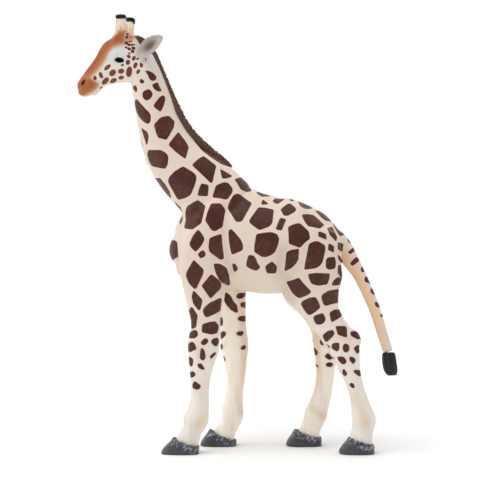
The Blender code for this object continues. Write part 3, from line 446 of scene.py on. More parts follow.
def tube(bm, rings):
    """Joins rings of points into a closed tube."""
    sides = len(rings[0])
    for ring, after in zip(rings, rings[1:]):
        for k in range(sides):
            m = (k + 1) % sides
            bm.faces.new((ring[k], ring[m], after[m], after[k]))
    bm.faces.new(rings[0])
    bm.faces.new(reversed(rings[-1]))


def loft(bm, stations, lateral=0.0, taper=0.0, place=Matrix(), sides=28, steps=5, upright=False,
         squared=1.0):
    """Adds a closed tube through the stations to bm, as the solids have it."""
    rows = catmull_rom(stations, steps)
    rings = []
    for i, (x, z, depth, width) in enumerate(rows):
        ahead, behind = rows[min(i + 1, len(rows) - 1)], rows[max(i - 1, 0)]
        along = Vector((ahead[0] - behind[0], 0.0, ahead[1] - behind[1])).normalized()
        up = Vector((0.0, 0.0, 1.0)) if upright else along.cross(Vector((0.0, 1.0, 0.0)))
        ring = []
        for k in range(sides):
            angle = math.tau * k / sides
            out = width * power(math.cos(angle), squared) * (1 - taper * math.sin(angle))
            point = Vector((x, lateral + out, z)) + up * depth * power(math.sin(angle), squared)
            ring.append(bm.verts.new(place @ point * MM))
        rings.append(ring)
    tube(bm, rings)


def ellipsoid(bm, centre, radii, pitch, place=Matrix(), segments=24):
    """Adds an egg shape to bm, pitched in the side view about its own centre."""
    shape = (place @ Matrix.Translation(Vector(centre))
             @ Matrix.Rotation(-math.radians(pitch), 4, "Y") @ Matrix.Diagonal((*radii, 1.0)))
    made = bmesh.ops.create_uvsphere(bm, u_segments=segments, v_segments=segments // 2, radius=1.0)
    for vert in made["verts"]:
        vert.co = shape @ vert.co * MM


def head_place():
    """The matrix that takes head coordinates (back from the lips, out, up) to the toy's own."""
    pitched = Matrix.Translation(HEAD_TIP) @ Matrix.Rotation(-HEAD_PITCH, 4, "Y")
    turn = Matrix.Translation(NAPE) @ Matrix.Rotation(-HEAD_YAW, 4, "Z") @ Matrix.Translation(-NAPE)
    return turn @ pitched


def horn_place(side):
    """The horn's own axes: z runs up the horn from its root in the skull."""
    return (head_place() @ Matrix.Translation((HORN_ROOT[0], side * HORN_ROOT[2], HORN_ROOT[1]))
            @ Matrix.Rotation(-HORN_LEAN, 4, "Y") @ Matrix.Rotation(-side * HORN_SPLAY, 4, "X"))


def ear_place(side_name):
    """The ear's own axes: x runs along it from its root, and z across it."""
    side = SIDES[side_name]
    swing, rise = (math.radians(angle) for angle in EAR_POSE[side_name])
    return (head_place() @ Matrix.Translation((EAR_ROOT[0], side * EAR_ROOT[2], EAR_ROOT[1]))
            @ Matrix.Rotation(HEAD_PITCH, 4, "Y")
            @ Matrix.Rotation(side * swing, 4, "Z") @ Matrix.Rotation(-rise, 4, "Y"))


def side_of(name):
    """-1 for a left piece and 1 for a right one."""
    return SIDES[name.split("_")[-1]]


def profile(stations, heights):
    """A limb's midline and half depth at each height."""
    z, x, depth = zip(*sorted((row[1], row[0], row[2]) for row in stations))
    return np.interp(heights, z, x), np.interp(heights, z, depth)


def new_object(name, mesh):
    obj = bpy.data.objects.new(name, mesh)
    bpy.context.scene.collection.objects.link(obj)
    return obj


def object_from(name, bm, outward=True):
    """An object with bm's mesh, its faces pointing outwards."""
    if outward:
        bmesh.ops.recalc_face_normals(bm, faces=bm.faces)
    mesh = bpy.data.meshes.new(name)
    bm.to_mesh(mesh)
    bm.free()
    return new_object(name, mesh)


def evaluated(obj):
    """The mesh that the object's modifiers make."""
    bpy.context.view_layer.update()
    graph = bpy.context.evaluated_depsgraph_get()
    return bpy.data.meshes.new_from_object(obj.evaluated_get(graph))


def settle(obj):
    """Puts the object's modifiers into its mesh and takes them off."""
    mesh = evaluated(obj)
    obj.modifiers.clear()
    obj.data = mesh
    return obj


def fuse(obj, voxel, smoothing):
    """Fuses the object's overlapping forms into one and smooths it."""
    remesh = obj.modifiers.new("Fuse", "REMESH")
    remesh.mode = "VOXEL"
    remesh.voxel_size = voxel
    smooth = obj.modifiers.new("Smooth", "SMOOTH")
    smooth.factor = 0.5
    smooth.iterations = smoothing
    return settle(obj)


def join(name, objects):
    """One object of several, all at the origin."""
    bm = bmesh.new()
    for obj in objects:
        bm.from_mesh(obj.data)
        bpy.data.objects.remove(obj)
    return object_from(name, bm, outward=False)


def read(mesh, normals=False):
    """The mesh's points in millimetres, or its normals, as rows of numbers."""
    if normals:
        values = np.zeros(len(mesh.vertices) * 3, np.float32)
        mesh.vertex_normals.foreach_get("vector", values)
        return values.reshape(-1, 3).astype(float)
    values = np.zeros(len(mesh.vertices) * 3)
    mesh.vertices.foreach_get("co", values)
    return values.reshape(-1, 3) / MM


def write(mesh, points):
    mesh.vertices.foreach_set("co", (points * MM).ravel())
    mesh.update()


def store(mesh, name, values):
    """Keeps one number for each point of the mesh."""
    layer = mesh.attributes.new(name, "FLOAT", "POINT")
    layer.data.foreach_set("value", np.ascontiguousarray(values, np.float32))


def ease(low, high, values):
    """0 up to low, 1 from high, and smooth between them."""
    t = np.clip((values - low) / (high - low), 0.0, 1.0)
    return t * t * (3 - 2 * t)


def turned(points, matrix):
    """The points taken through a matrix."""
    found = np.array(matrix)
    return points @ found[:3, :3].T + found[:3, 3]


def hill(values, centre, width):
    return np.exp(-(((values - centre) / width) ** 2))


def dress(obj, paint, slot, *nodes):
    """Gives a finished piece its paint, and puts it in the place of the solids it stands for."""
    obj.data.materials.clear()
    obj.data.materials.append(paint)
    obj.data.shade_smooth()
    obj.data.transform(Matrix.Translation((0.0, 0.0, -FLOOR * MM)))
    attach(obj, "root")
    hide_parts(*nodes)


# ---- the skin's shape

FLESH_SMOOTHING, SKIN_SMOOTHING = 10, 3  # passes without the ears and with them


def ear_shape(side_name):
    """A leaf-shaped ear, cupped along its length, with a rolled rim."""
    bm = bmesh.new()
    bmesh.ops.create_grid(bm, x_segments=32, y_segments=18, size=0.5)
    place, side = ear_place(side_name), SIDES[side_name]
    for vert in bm.verts:
        along, across = vert.co.x + 0.5, 2 * vert.co.y
        spread = EAR_HALF_WIDTH * (0.25 + 0.75 * math.sin(math.pi * (0.10 + along * 0.86)))
        if along > 0.85:
            spread *= math.sqrt(max(0.02, 1 - ((along - 0.85) / 0.16) ** 2))
        cup = EAR_CUP * across**2 * spread / EAR_HALF_WIDTH
        bow = -0.9 * along**2
        deep = -0.35 * math.exp(-((across / 0.45) ** 2)) * math.sin(math.pi * min(1, along * 1.1))
        vert.co = place @ Vector((along * EAR_LENGTH, side * (cup + bow + deep), across * spread)) * MM
    obj = object_from("ear_" + side_name + "_shape", bm)
    wall = obj.modifiers.new("Wall", "SOLIDIFY")
    wall.thickness = EAR_WALL * MM
    wall.offset = 0.0
    return settle(obj)


def body_shape(voxel):
    """Head, neck, trunk, tail, legs and ears as one smooth body."""
    bm = bmesh.new()
    head = head_place()
    loft(bm, NECK, taper=0.12)
    loft(bm, TRUNK, taper=0.16)
    loft(bm, TAIL)
    for name, stations in LEGS.items():
        loft(bm, stations, lateral=side_of(name) * LEG_Y)
    for x, z, out, along, across, sideways, pitch in LUMPS.values():
        for side in SIDES.values():
            ellipsoid(bm, (x, side * out, z), (along, sideways, across), pitch)
    for name, (x, z, along, across, sideways, pitch) in LEG_LUMPS.items():
        ellipsoid(bm, (x, side_of(name) * LEG_Y, z), (along, sideways, across), pitch)
    skull = [(s, (top + bottom) / 2, (top - bottom) / 2, width) for s, top, bottom, width in SKULL]
    loft(bm, skull, taper=0.1, place=head)
    for s, up, out, along, across, sideways, pitch in SKULL_LUMPS.values():
        for side in SIDES.values():
            ellipsoid(bm, (s, side * out, up), (along, sideways, across), pitch, place=head)
    loft(bm, CREST, sides=24)
    for side in SIDES.values():
        flare = bmesh.ops.create_cone(bm, cap_ends=True, segments=32, radius1=HORN_RADII[0] + 1.7,
                                      radius2=HORN_RADII[1] + 0.35, depth=8.0)
        for vert in flare["verts"]:
            vert.co = horn_place(side) @ (vert.co + Vector((0.0, 0.0, 2.2))) * MM
    flesh = fuse(object_from("flesh", bm), voxel, FLESH_SMOOTHING)
    ears = [ear_shape(side_name) for side_name in SIDES]
    return fuse(join("skin", [flesh, *ears]), voxel, SKIN_SMOOTHING)


def part_of(points):
    """The name of the solid that each point lies nearest to."""
    names, corners, faces = [], [], []
    for name in SKIN_NODES:
        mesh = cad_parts[name].data
        start = len(corners)
        corners += [tuple(v.co / MM) for v in mesh.vertices]
        for face in mesh.polygons:
            faces.append([start + k for k in face.vertices])
            names.append(name)
    tree = BVHTree.FromPolygons(corners, faces)
    return np.array([names[tree.find_nearest(Vector(point))[2]] for point in points])


def refine(mesh, spots, length):
    """Halves the long edges that lie near the spots: (centre, radius) in millimetres."""
    bm = bmesh.new()
    bm.from_mesh(mesh)
    for centre, radius in spots:
        for _ in range(2):
            near = {v for v in bm.verts if (v.co / MM - centre).length < radius}
            edges = [e for v in near for e in v.link_edges
                     if e.verts[0] in near and e.verts[1] in near and e.calc_length() / MM > length]
            if edges:
                bmesh.ops.subdivide_edges(bm, edges=list(set(edges)), cuts=1, use_grid_fill=False)
    bmesh.ops.triangulate(bm, faces=[f for f in bm.faces if len(f.verts) > 4])
    bm.to_mesh(mesh)
    bm.free()
    mesh.update()


class Skin:
    """The skin's points, normals and parts, and where flat outlines land on it."""

    def __init__(self, mesh):
        self.points, self.normals = read(mesh), read(mesh, normals=True)
        self.part = part_of(self.points)
        self.faces = [tuple(face.vertices) for face in mesh.polygons]
        self.first = np.array([face[0] for face in self.faces])
        self.marks = np.full(len(self.points), -3.0)  # how deep each point lies inside a marking
        self.tones = np.zeros(len(self.points))
        self.trees = {}

    def reshaped(self, mesh):
        """Reads the points again after the mesh was modelled."""
        self.points, self.normals = read(mesh), read(mesh, normals=True)
        self.trees = {}

    def lay(self, near, deep, tone):
        """Keeps the deeper of the old and new markings at those points."""
        better = deep > self.marks[near]
        self.marks[near[better]] = deep[better]
        self.tones[near[better]] = tone

    def tree(self, parts):
        """The search tree of the skin on those parts."""
        if parts not in self.trees:
            inside = np.isin(self.part[self.first], parts)
            chosen = [face for face, keep in zip(self.faces, inside) if keep]
            self.trees[parts] = BVHTree.FromPolygons(self.points.tolist(), chosen)
        return self.trees[parts]

    def snap(self, point, parts):
        """The nearest point of those parts, and the way that it faces."""
        found, normal, _, _ = self.tree(parts).find_nearest(Vector(point))
        return found, normal

    def look(self, x, z, card, parts):
        """What the sight line through that place on the card meets, and the line's direction."""
        way = (Vector((x, card, z)) - SIGHT).normalized()
        found, normal, _, _ = self.tree(parts).ray_cast(SIGHT, way)
        return found, normal, way

    def land(self, x, z, card, parts, anchor):
        """Where a corner lands; past the edge it goes on round the form by what is left over."""
        found, normal, way = self.look(x, z, card, parts)
        if found is not None:
            return found, normal, 0.0
        here, off = Vector(anchor), Vector((x, z))
        for _ in range(10):
            middle = (here + off) / 2
            if self.look(middle.x, middle.y, card, parts)[0] is not None:
                here = middle
            else:
                off = middle
        edge, _, way = self.look(here.x, here.y, card, parts)
        if edge is None:
            edge, _ = self.snap((x, card, z), parts)
        over = (Vector((x, z)) - here).length
        found, normal = self.snap(edge + way * over, parts)
        return found, normal, over

    def outline(self, corners, card, parts):
        """A flat outline's corners on the skin, how they face, and how far they wrap."""
        middle = [sum(column) / len(corners) for column in zip(*corners)]
        anchor = middle
        if self.look(*middle, card, parts)[0] is None:
            seen = [c for c in corners if self.look(*c, card, parts)[0] is not None]
            if seen:
                anchor = min(seen, key=lambda c: (Vector(c) - Vector(middle)).length)
        landed = [self.land(x, z, card, parts, anchor) for x, z in corners]
        return ([p for p, _, _ in landed], [n for _, n, _ in landed], max(o for _, _, o in landed))


def spot_outline(x, z, length, width, turn, corners=12):
    """A round spot as an outline."""
    c, s = math.cos(math.radians(turn)), math.sin(math.radians(turn))
    found = []
    for k in range(corners):
        a = length / 2 * math.cos(math.tau * k / corners)
        b = width / 2 * math.sin(math.tau * k / corners)
        found.append((x + a * c - b * s, z + a * s + b * c))
    return tuple(found)


def soften(corners, radius):
    """Rounds an outline's corners off, twice."""
    for _ in range(2):
        found = []
        for i, here in enumerate(corners):
            for other in (corners[i - 1], corners[(i + 1) % len(corners)]):
                step = other - here
                size = np.linalg.norm(step)
                found.append(here + step * (min(radius, 0.3 * size) / max(size, 1e-6)))
        corners = np.array(found)
        radius *= 0.5
    return corners


def inside_by(points, corners):
    """How far each flat point lies inside the outline; less than 0 outside."""
    nearest = np.full(len(points), 1e9)
    inside = np.zeros(len(points), bool)
    for start, end in zip(corners, np.roll(corners, -1, axis=0)):
        edge, away = end - start, points - start
        share = np.clip(away @ edge / max(edge @ edge, 1e-9), 0, 1)
        nearest = np.minimum(nearest, np.linalg.norm(away - share[:, None] * edge, axis=1))
        crosses = (start[1] > points[:, 1]) != (end[1] > points[:, 1])
        slope = (end[0] - start[0]) / (end[1] - start[1] if end[1] != start[1] else 1e-9)
        inside ^= crosses & (points[:, 0] < start[0] + slope * (points[:, 1] - start[1]))
    return np.where(inside, nearest, -nearest)


EDGE_ON = 0.06  # a marking stops where the skin turns this nearly edge-on to it
EDGE_SLOPE = 10.0
MARK_CLEARANCE = 0.9
DRIFT_SEED = 4  # picks how the repeated markings drift; never 0, which would be the clock


def lay_mark(skin, corners, normals, parts, tone, rounding, clear=None):
    """Lays one outline on the skin, over the points that it can reach.

    With clear it keeps that far from the marks laid before it.
    """
    corners = np.array([tuple(c) for c in corners])
    middle = corners.mean(axis=0)
    facing = sum(normals, Vector()) + skin.snap(middle, parts)[1] * len(normals) * 0.5
    facing.normalize()
    u = facing.orthogonal().normalized()
    flat = np.array([tuple(u), tuple(facing.cross(u))]).T
    outline = soften((corners - middle) @ flat, rounding)
    reach = np.linalg.norm(outline, axis=1).max() + 1.2
    away = skin.points - middle
    near = np.flatnonzero((np.abs(away) < reach + 3.0).all(axis=1))
    across = away[near] @ flat
    depth = away[near] @ np.array(facing)
    turn = skin.normals[near] @ np.array(facing)
    keep = ((np.linalg.norm(across, axis=1) < reach) & (np.abs(depth) < 0.75 * reach + 1.5)
            & (turn > -0.1) & np.isin(skin.part[near], parts))
    near, across = near[keep], across[keep]
    if len(near):
        deep = np.minimum(inside_by(across, outline), (turn[keep] - EDGE_ON) * EDGE_SLOPE)
        if clear is not None:
            deep = np.minimum(deep, -skin.marks[near] - clear)
        skin.lay(near, deep, tone)


def lay_flat(skin, drawn, card, parts, tone, rounding, side, halves):
    """Lays one outline as it is drawn, straight along the sight lines from one side.

    With halves it fills its own half of the body, also where that turns away; otherwise it stops
    at the edge of what the sight lines meet.
    """
    outline = soften(np.array(drawn, float), rounding)
    flat = sighted(skin.points * (1, -side, 1), card)
    reach = np.ptp(outline, axis=0).max() + 2.0
    near = np.flatnonzero((np.abs(flat - outline.mean(axis=0)) < reach).all(axis=1)
                          & (side * skin.normals[:, 1] > (-0.7 if halves else -0.2))
                          & np.isin(skin.part, parts))
    room = side * skin.points[near, 1] + 1.0 if halves else (
        side * skin.normals[near, 1] - EDGE_ON) * EDGE_SLOPE
    skin.lay(near, np.minimum(inside_by(flat[near], outline), room), tone)


def sighted(points, card):
    """Where points show on the card at that Y."""
    share = (card - SIGHT.y) / (points[:, 1] - SIGHT.y)
    return np.stack([SIGHT.x + (points[:, 0] - SIGHT.x) * share,
                     SIGHT.z + (points[:, 2] - SIGHT.z) * share], axis=1)


def swapped(parts):
    """The same parts on the other side."""
    return tuple(p.replace("left", "#").replace("right", "left").replace("#", "right")
                 for p in parts)


def across_body(point, to_right=True):
    """The place on the other side of the body, in step with how each leg stands."""
    fade = min(max((100.0 - point.z) / 22.0, 0.0), 1.0)
    end = "front" if point.x < 12 else "hind"
    left, right = (float(profile(LEGS[f"leg_{end}_{side}"], point.z)[0]) for side in SIDES)
    shift = (right - left) * fade * (1 if to_right else -1)
    drift = noise.noise_vector(point * 0.07) * 0.9
    return Vector((point.x + shift + drift.x, -point.y, point.z + drift.z))


def across_head(point):
    """The place on the other side of the turned head."""
    head = head_place()
    held = head.inverted() @ point
    return head @ Vector((held.x, -held.y, held.z))


HEAD_PARTS = ("head", "neck")
BODY_PARTS = ("neck", "trunk", "leg_front_left", "leg_hind_left", "head")
MOST_WRAP = 1.2  # a marking that wraps on further than this isn't repeated on the other side
# Each table with its card's Y, the parts it lands on, its tone (1 is the face's red-brown and 0 the
# coat's dark brown), how far its corners are rounded, and the sides where it is laid straight along
# the sight lines instead of wrapped. Two such sides need no repeat.
MARKINGS = (
    (FACE_SPOTS, FACE_CARD, HEAD_PARTS, 1.0, 0.3, ()),
    (JAW_SPOTS, FACE_CARD, HEAD_PARTS, 1.0, 0.2, ("left",)),
    (TEMPLE_SPOTS, FACE_CARD, HEAD_PARTS, 0.15, 0.2, ()),
    (NECK_PATCHES, NECK_CARD, ("neck", "head", "trunk"), 0.12, 0.45, ()),
    (MANE_FOOT, MANE_CARD, ("neck", "trunk"), 0.0, 0.1, ("left", "right")),
    (FLANK_PATCHES, BODY_CARD, BODY_PARTS, 0.0, 0.45, ()),
    (RUMP_PATCHES, RUMP_CARD, BODY_PARTS + ("tail",), 0.0, 0.45, ()),
    (THIGH_PATCHES, BODY_CARD, ("leg_hind_left", "trunk"), 0.0, 0.4, ()),
    (FORELEG_PATCHES, BODY_CARD, ("leg_front_left", "trunk"), 0.0, 0.4, ()),
    (ELBOW_PATCHES, BODY_CARD, ("leg_front_left", "trunk"), 0.0, 0.4, ("left",)),
    (INNER_FORELEG_PATCHES, BODY_CARD, ("leg_front_right", "trunk"), 0.0, 0.3, ("left",)),
    (INNER_THIGH_PATCHES, BODY_CARD, ("leg_hind_right",), 0.0, 0.3, ("left",)),
    (TAIL_PATCHES, RUMP_CARD, ("tail", "trunk", "leg_hind_left", "leg_hind_right"), 0.0, 0.3,
     ("left", "right")),
)


def paint_marks(skin):
    """Lays every marking on the skin, then repeats the left side's on the right."""
    repeats = []
    noise.seed_set(DRIFT_SEED)
    for table, card, parts, tone, rounding, straight in MARKINGS:
        both = len(straight) == 2
        for drawn in table:
            spot = len(drawn) == 5
            corners = spot_outline(*drawn) if spot else tuple(zip(drawn[::2], drawn[1::2]))
            for side_name in straight:
                lay_flat(skin, corners, card, parts, tone, rounding, SIDES[side_name], both)
            if both:
                continue
            places, normals, wrap = skin.outline(corners, card, parts)
            if not straight:
                lay_mark(skin, places, normals, parts, tone, rounding)
            if wrap > MOST_WRAP and not parts[0].startswith("leg"):
                continue
            on_head, on_right = parts[0] == "head", parts[0].endswith("right")
            other = parts if on_head else swapped(parts)
            moved = [across_head(p) if on_head else across_body(p, not on_right) for p in places]
            snapped = [skin.snap(p, other) for p in moved]
            repeats.append(([p for p, _ in snapped], [n for _, n in snapped], other, tone, rounding))
    for repeat in repeats:
        lay_mark(skin, *repeat, clear=MARK_CLEARANCE)


# ---- what is modelled into the skin

EYE_CORNERS = (-58.45, 195.8)  # the middle of the eye's opening, on the face's card
NOSTRIL = (-76.4, 184.7)
NOSTRIL_TURN = 58.0
MOUTH = ((-77.6, 178.0), (-76.3, 178.7), (-74.6, 179.4), (-73, 180.1), (-71, 181.8), (-69.7, 183.7))
TEMPLE = (-53.2, 203.0)
FACE_REACH = 2.2  # the skin's facing is averaged this far round a place on the face
FACE_GRAIN = 0.24  # spacing of the mesh round the eyes, nostrils, mouth and temples
# Dents and swellings of the head: x, z on its card, how far out, and radius.
SCULPTED = (
    (-64.4, 208.2, -1.3, 2.2), (-66.8, 206.0, -0.3, 1.8), (-76.0, 177.6, -0.6, 2.2),
    (-73.0, 178.6, -0.5, 2.0), (-78.8, 179.0, 0.6, 1.8), (-69.0, 179.4, -0.7, 2.0),
)


def on_face(skin, x, z):
    """The place on both sides of the face that is drawn at x, z on the face's card."""
    found, _, _ = skin.look(x, z, FACE_CARD, HEAD_PARTS)
    if found is None:
        found, _ = skin.snap((x, FACE_CARD, z), HEAD_PARTS)
    other, _ = skin.snap(across_head(found), HEAD_PARTS)
    return {"left": found, "right": other}


def face_frame(skin, point, turn=0.0):
    """Flat axes on the face: along a line that rises by turn towards the tail, and square to it."""
    near = np.linalg.norm(skin.points - np.array(point), axis=1) < FACE_REACH
    facing = Vector(skin.normals[near].mean(axis=0)).normalized()
    c, s = math.cos(math.radians(turn)), math.sin(math.radians(turn))
    along = Matrix.Rotation(-HEAD_YAW, 3, "Z") @ Vector((c, 0.0, s))
    along = (along - facing * along.dot(facing)).normalized()
    up = facing.cross(along)
    if up.z < 0:
        up.negate()
    return np.array(along), np.array(up), np.array(facing)


def from_face(skin, point, turn=0.0):
    """How far each point lies along, up and out from a place on the face, and how it faces."""
    along, up, facing = face_frame(skin, point, turn)
    away = skin.points - np.array(point)
    return away @ along, away @ up, np.abs(away @ facing), skin.normals @ facing


def eye_opening(a, b):
    """1 at the middle of the almond eye, 0 at its lids and below 0 outside."""
    half = np.where(a < 0, 2.75, 2.45)
    share = np.clip(1 - (a / half) ** 2, 0.0, 1.0)
    upper = 1.42 * share ** 0.62 + 0.02
    lower = 1.15 * share ** 0.8 + 0.02
    lift = b + 0.12 * a
    reach = np.maximum(lift / upper, -lift / lower)
    out = np.maximum(reach, np.abs(a) / half)
    return 1 - out


def model_face(mesh, skin):
    """Eyelids, nostrils and mouth, pressed into the skin; returns the dark lining's strength."""
    points, normals = skin.points.copy(), skin.normals
    lining = np.zeros(len(points))
    eyes, nostrils = on_face(skin, *EYE_CORNERS), on_face(skin, *NOSTRIL)
    mouths = [on_face(skin, x, z) for x, z in MOUTH]
    move = np.zeros(len(points))
    for side_name in SIDES:
        a, b, depth, facing = from_face(skin, eyes[side_name])
        near = (depth < 3.5) & (facing > 0.1)
        opening = np.where(near, eye_opening(a, b), -9.0)
        move += np.where(opening > 0, -1.15 * ease(0.0, 0.30, opening), 0.0)
        lid = hill(opening, -0.16, 0.17) * np.where(b > 0, 0.40, 0.26)
        fold = hill(opening, -0.85, 0.16) * np.where(b > 0, -0.16, -0.10)
        move += np.where(near, lid + fold, 0.0)
        lining = np.maximum(lining, np.where(near, ease(-0.10, 0.06, opening), 0.0))
        a, b, depth, facing = from_face(skin, nostrils[side_name], NOSTRIL_TURN)
        near = (depth < 2.5) & (facing > 0.0)
        bent = b + 0.08 * a**2 - 0.1
        slit = 1 - np.sqrt((a / 1.6) ** 2 + (bent / 0.8) ** 2)
        move += np.where(near, -0.85 * ease(-0.05, 0.6, slit) + 0.22 * hill(slit, -0.7, 0.45), 0.0)
        lining = np.maximum(lining, np.where(near, ease(-0.25, 0.15, slit), 0.0))
        line = [np.array(m[side_name]) for m in mouths]
        gap = path_distance(skin.points, line)
        move += -0.30 * np.exp(-((gap / 0.34) ** 2)) + 0.10 * hill(gap, 0.8, 0.4)
        lining = np.maximum(lining, 0.25 * np.exp(-((gap / 0.26) ** 2)))
    drawn = on_card(points)
    on_head = skin.part == "head"
    for x, z, depth, width in SCULPTED:
        gap = np.hypot(drawn[:, 0] - x, drawn[:, 1] - z)
        move += np.where(on_head, depth * np.exp(-((gap / width) ** 2)), 0.0)
    points += normals * move[:, None]
    points[:, 0] = np.maximum(points[:, 0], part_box("head")[0][0] / MM)
    write(mesh, points)
    return lining


def path_distance(points, line):
    """How far each point is from a line of points."""
    found = np.full(len(points), 1e9)
    for start, end in zip(line, line[1:]):
        edge = end - start
        share = np.clip((points - start) @ edge / max(edge @ edge, 1e-9), 0, 1)
        found = np.minimum(found, np.linalg.norm(points - start - share[:, None] * edge, axis=1))
    return found


# Creases pressed into the left side and repeated on the right: their line in the side view, depth
# and half width.
CREASES = (
    (((-9.5, 122), (-6.5, 112), (-5.6, 104), (-5.2, 97), (-3.0, 91.5)), 0.45, 1.6),
    (((22.5, 101), (21.6, 95), (22.0, 90)), 0.5, 2.4),
    (((24.5, 88), (24.2, 82), (26.5, 77)), 0.2, 1.6),
    (((49.5, 101), (50.3, 95), (50.2, 89)), 0.25, 1.2),
)


def model_body(mesh, skin):
    """The creases between the big forms, and the sinews and folds of the legs; returns where painted
    shade darkens the creases.
    """
    points, normals = skin.points.copy(), skin.normals
    move = np.zeros(len(points))
    crease_shade = np.zeros(len(points))
    on_body = np.isin(skin.part, ("neck", "trunk", *LEGS))
    outer = np.abs(normals[:, 1])
    for line, depth, width in CREASES:
        gap = path_distance(points * (1.0, 0.0, 1.0), [np.array((x, 0.0, z)) for x, z in line])
        press = np.exp(-((gap / width) ** 2)) * on_body * ease(0.2, 0.7, outer)
        move -= depth * press
        # Painted shade: the paint darkens along each crease, a little wider than the crease is pressed.
        crease_shade = np.maximum(crease_shade, np.exp(-((gap / (1.8 * width)) ** 2)) * on_body)
    for name, stations in LEGS.items():
        middle, deep = profile(stations, points[:, 2])
        back = (points[:, 0] - middle) / deep
        on_leg = skin.part == name
        top = 42.0 if "hind" in name else 43.0
        shank = ease(20.0, 26.0, points[:, 2]) * (1 - ease(top, top + 8, points[:, 2]))
        move -= np.where(on_leg, 0.32 * hill(back, 0.32, 0.2) * shank * outer, 0.0)
        for height, strength in ((14.2, 0.22), (11.8, 0.16)):
            move -= np.where(on_leg, strength * hill(points[:, 2] + 0.5 * (points[:, 0] - middle),
                                                     height, 0.55), 0.0)
    points += normals * move[:, None]
    write(mesh, points)
    return crease_shade


def tint(points, spots):
    """A soft spray of colour over round places in the side view, on both sides."""
    found = np.zeros(len(points))
    for x, z, wide, tall, strength in spots:
        gap = ((points[:, 0] - x) / wide) ** 2 + ((points[:, 2] - z) / tall) ** 2
        found = np.maximum(found, strength * np.exp(-gap))
    return found


# Sprays of warm colour: x, z, how far they reach along and up, and how strong they are.
WARM_SPRAYS = (
    (-5.5, 97, 2.2, 9, 0.10), (-1, 92.5, 3.5, 3, 0.40), (22.8, 96, 2.6, 8, 0.22),
    (-18.5, 66, 5, 6, 0.35), (-18.5, 54, 5, 7, 0.40), (12, 96, 6, 2, 0.20),
    (52, 59, 7, 4, 0.40), (57, 56, 4, 6, 0.30), (33, 80, 5, 6, 0.22),
    (49, 112, 4, 4, 0.35), (-31, 110, 2.5, 8, 0.15), (47.5, 101, 2.5, 5, 0.25),
    (10, 126, 9, 4, 0.30), (36, 122, 7, 3, 0.30),
)
# A warm streak down to each fetlock's spur: where it starts and ends, as x and z.
FETLOCKS = {
    "leg_front_left": ((-16.5, 20.5), (-19, 16.8)),
    "leg_front_right": ((2.6, 32), (2.4, 19)),
    "leg_hind_left": ((57.4, 31), (62.6, 17.8)),
    "leg_hind_right": ((38.4, 21.5), (43.6, 17.4)),
}


# Sprays on the face, drawn on its card: how far the edge fades, and then the outline's corners.
FACE_SPRAYS = {
    "bridge": (1.5, -84, 192, -78.6, 186.5, -74.5, 186.2, -72.4, 187.6, -69.6, 190.2, -66.8, 193.6,
        -65.2, 196.2, -63.6, 199.6, -61.2, 202.2, -58.0, 203.4, -55.0, 203.6, -51.5, 204.6, -50.5, 208,
        -55.5, 212, -62, 213, -76, 206),
    "muzzle": (1.2, -84, 192, -76, 187.6, -73.6, 187.4, -72.0, 186.6, -70.0, 185.2, -69.4, 184.3,
        -70.2, 182.6, -72.2, 180.7, -74.6, 179.1, -76.4, 178.0, -79, 176.5, -84, 177),
    "forehead": (1.3, -80, 189, -76, 197, -70, 206, -62, 212, -58, 209.5, -57.5, 206, -61.5, 204.4,
        -65, 201.5, -67.4, 197.5, -70, 193.5, -74, 189.4),
    "eye_ring": (1.6, -63.8, 197, -62.2, 201, -58.6, 202.4, -55, 201.2, -53.4, 198, -55.4, 194.4,
        -60, 193.2, -63.2, 194.6),
    "lip": (0.5, -79.5, 178, -76.4, 178.6, -74.4, 179.6, -72, 181.2, -70, 183.1, -69.2, 184.8,
        -68.4, 184.6, -68.9, 182.6, -70.9, 180.0, -73.6, 177.8, -76.2, 176.4, -79.5, 176),
    "horn": (0.9, -68, 208.2, -63.7, 206.9, -60.5, 208.5, -56.4, 211.0, -53.4, 209.6, -51.5, 207.5,
        -46, 209, -46, 222, -68, 222),
    "ear_base": (1.4, -51.5, 203.6, -49.5, 205, -47, 205.2, -44, 198.0, -47.5, 196.0, -50.0, 198.2,
        -51.4, 200.8),
}


def on_card(points):
    """Where points of the head show on the face's card; the right side is laid over the left."""
    held = turned(points, head_place().inverted())
    held[:, 1] = -np.abs(held[:, 1])
    return sighted(turned(held, head_place()), FACE_CARD)


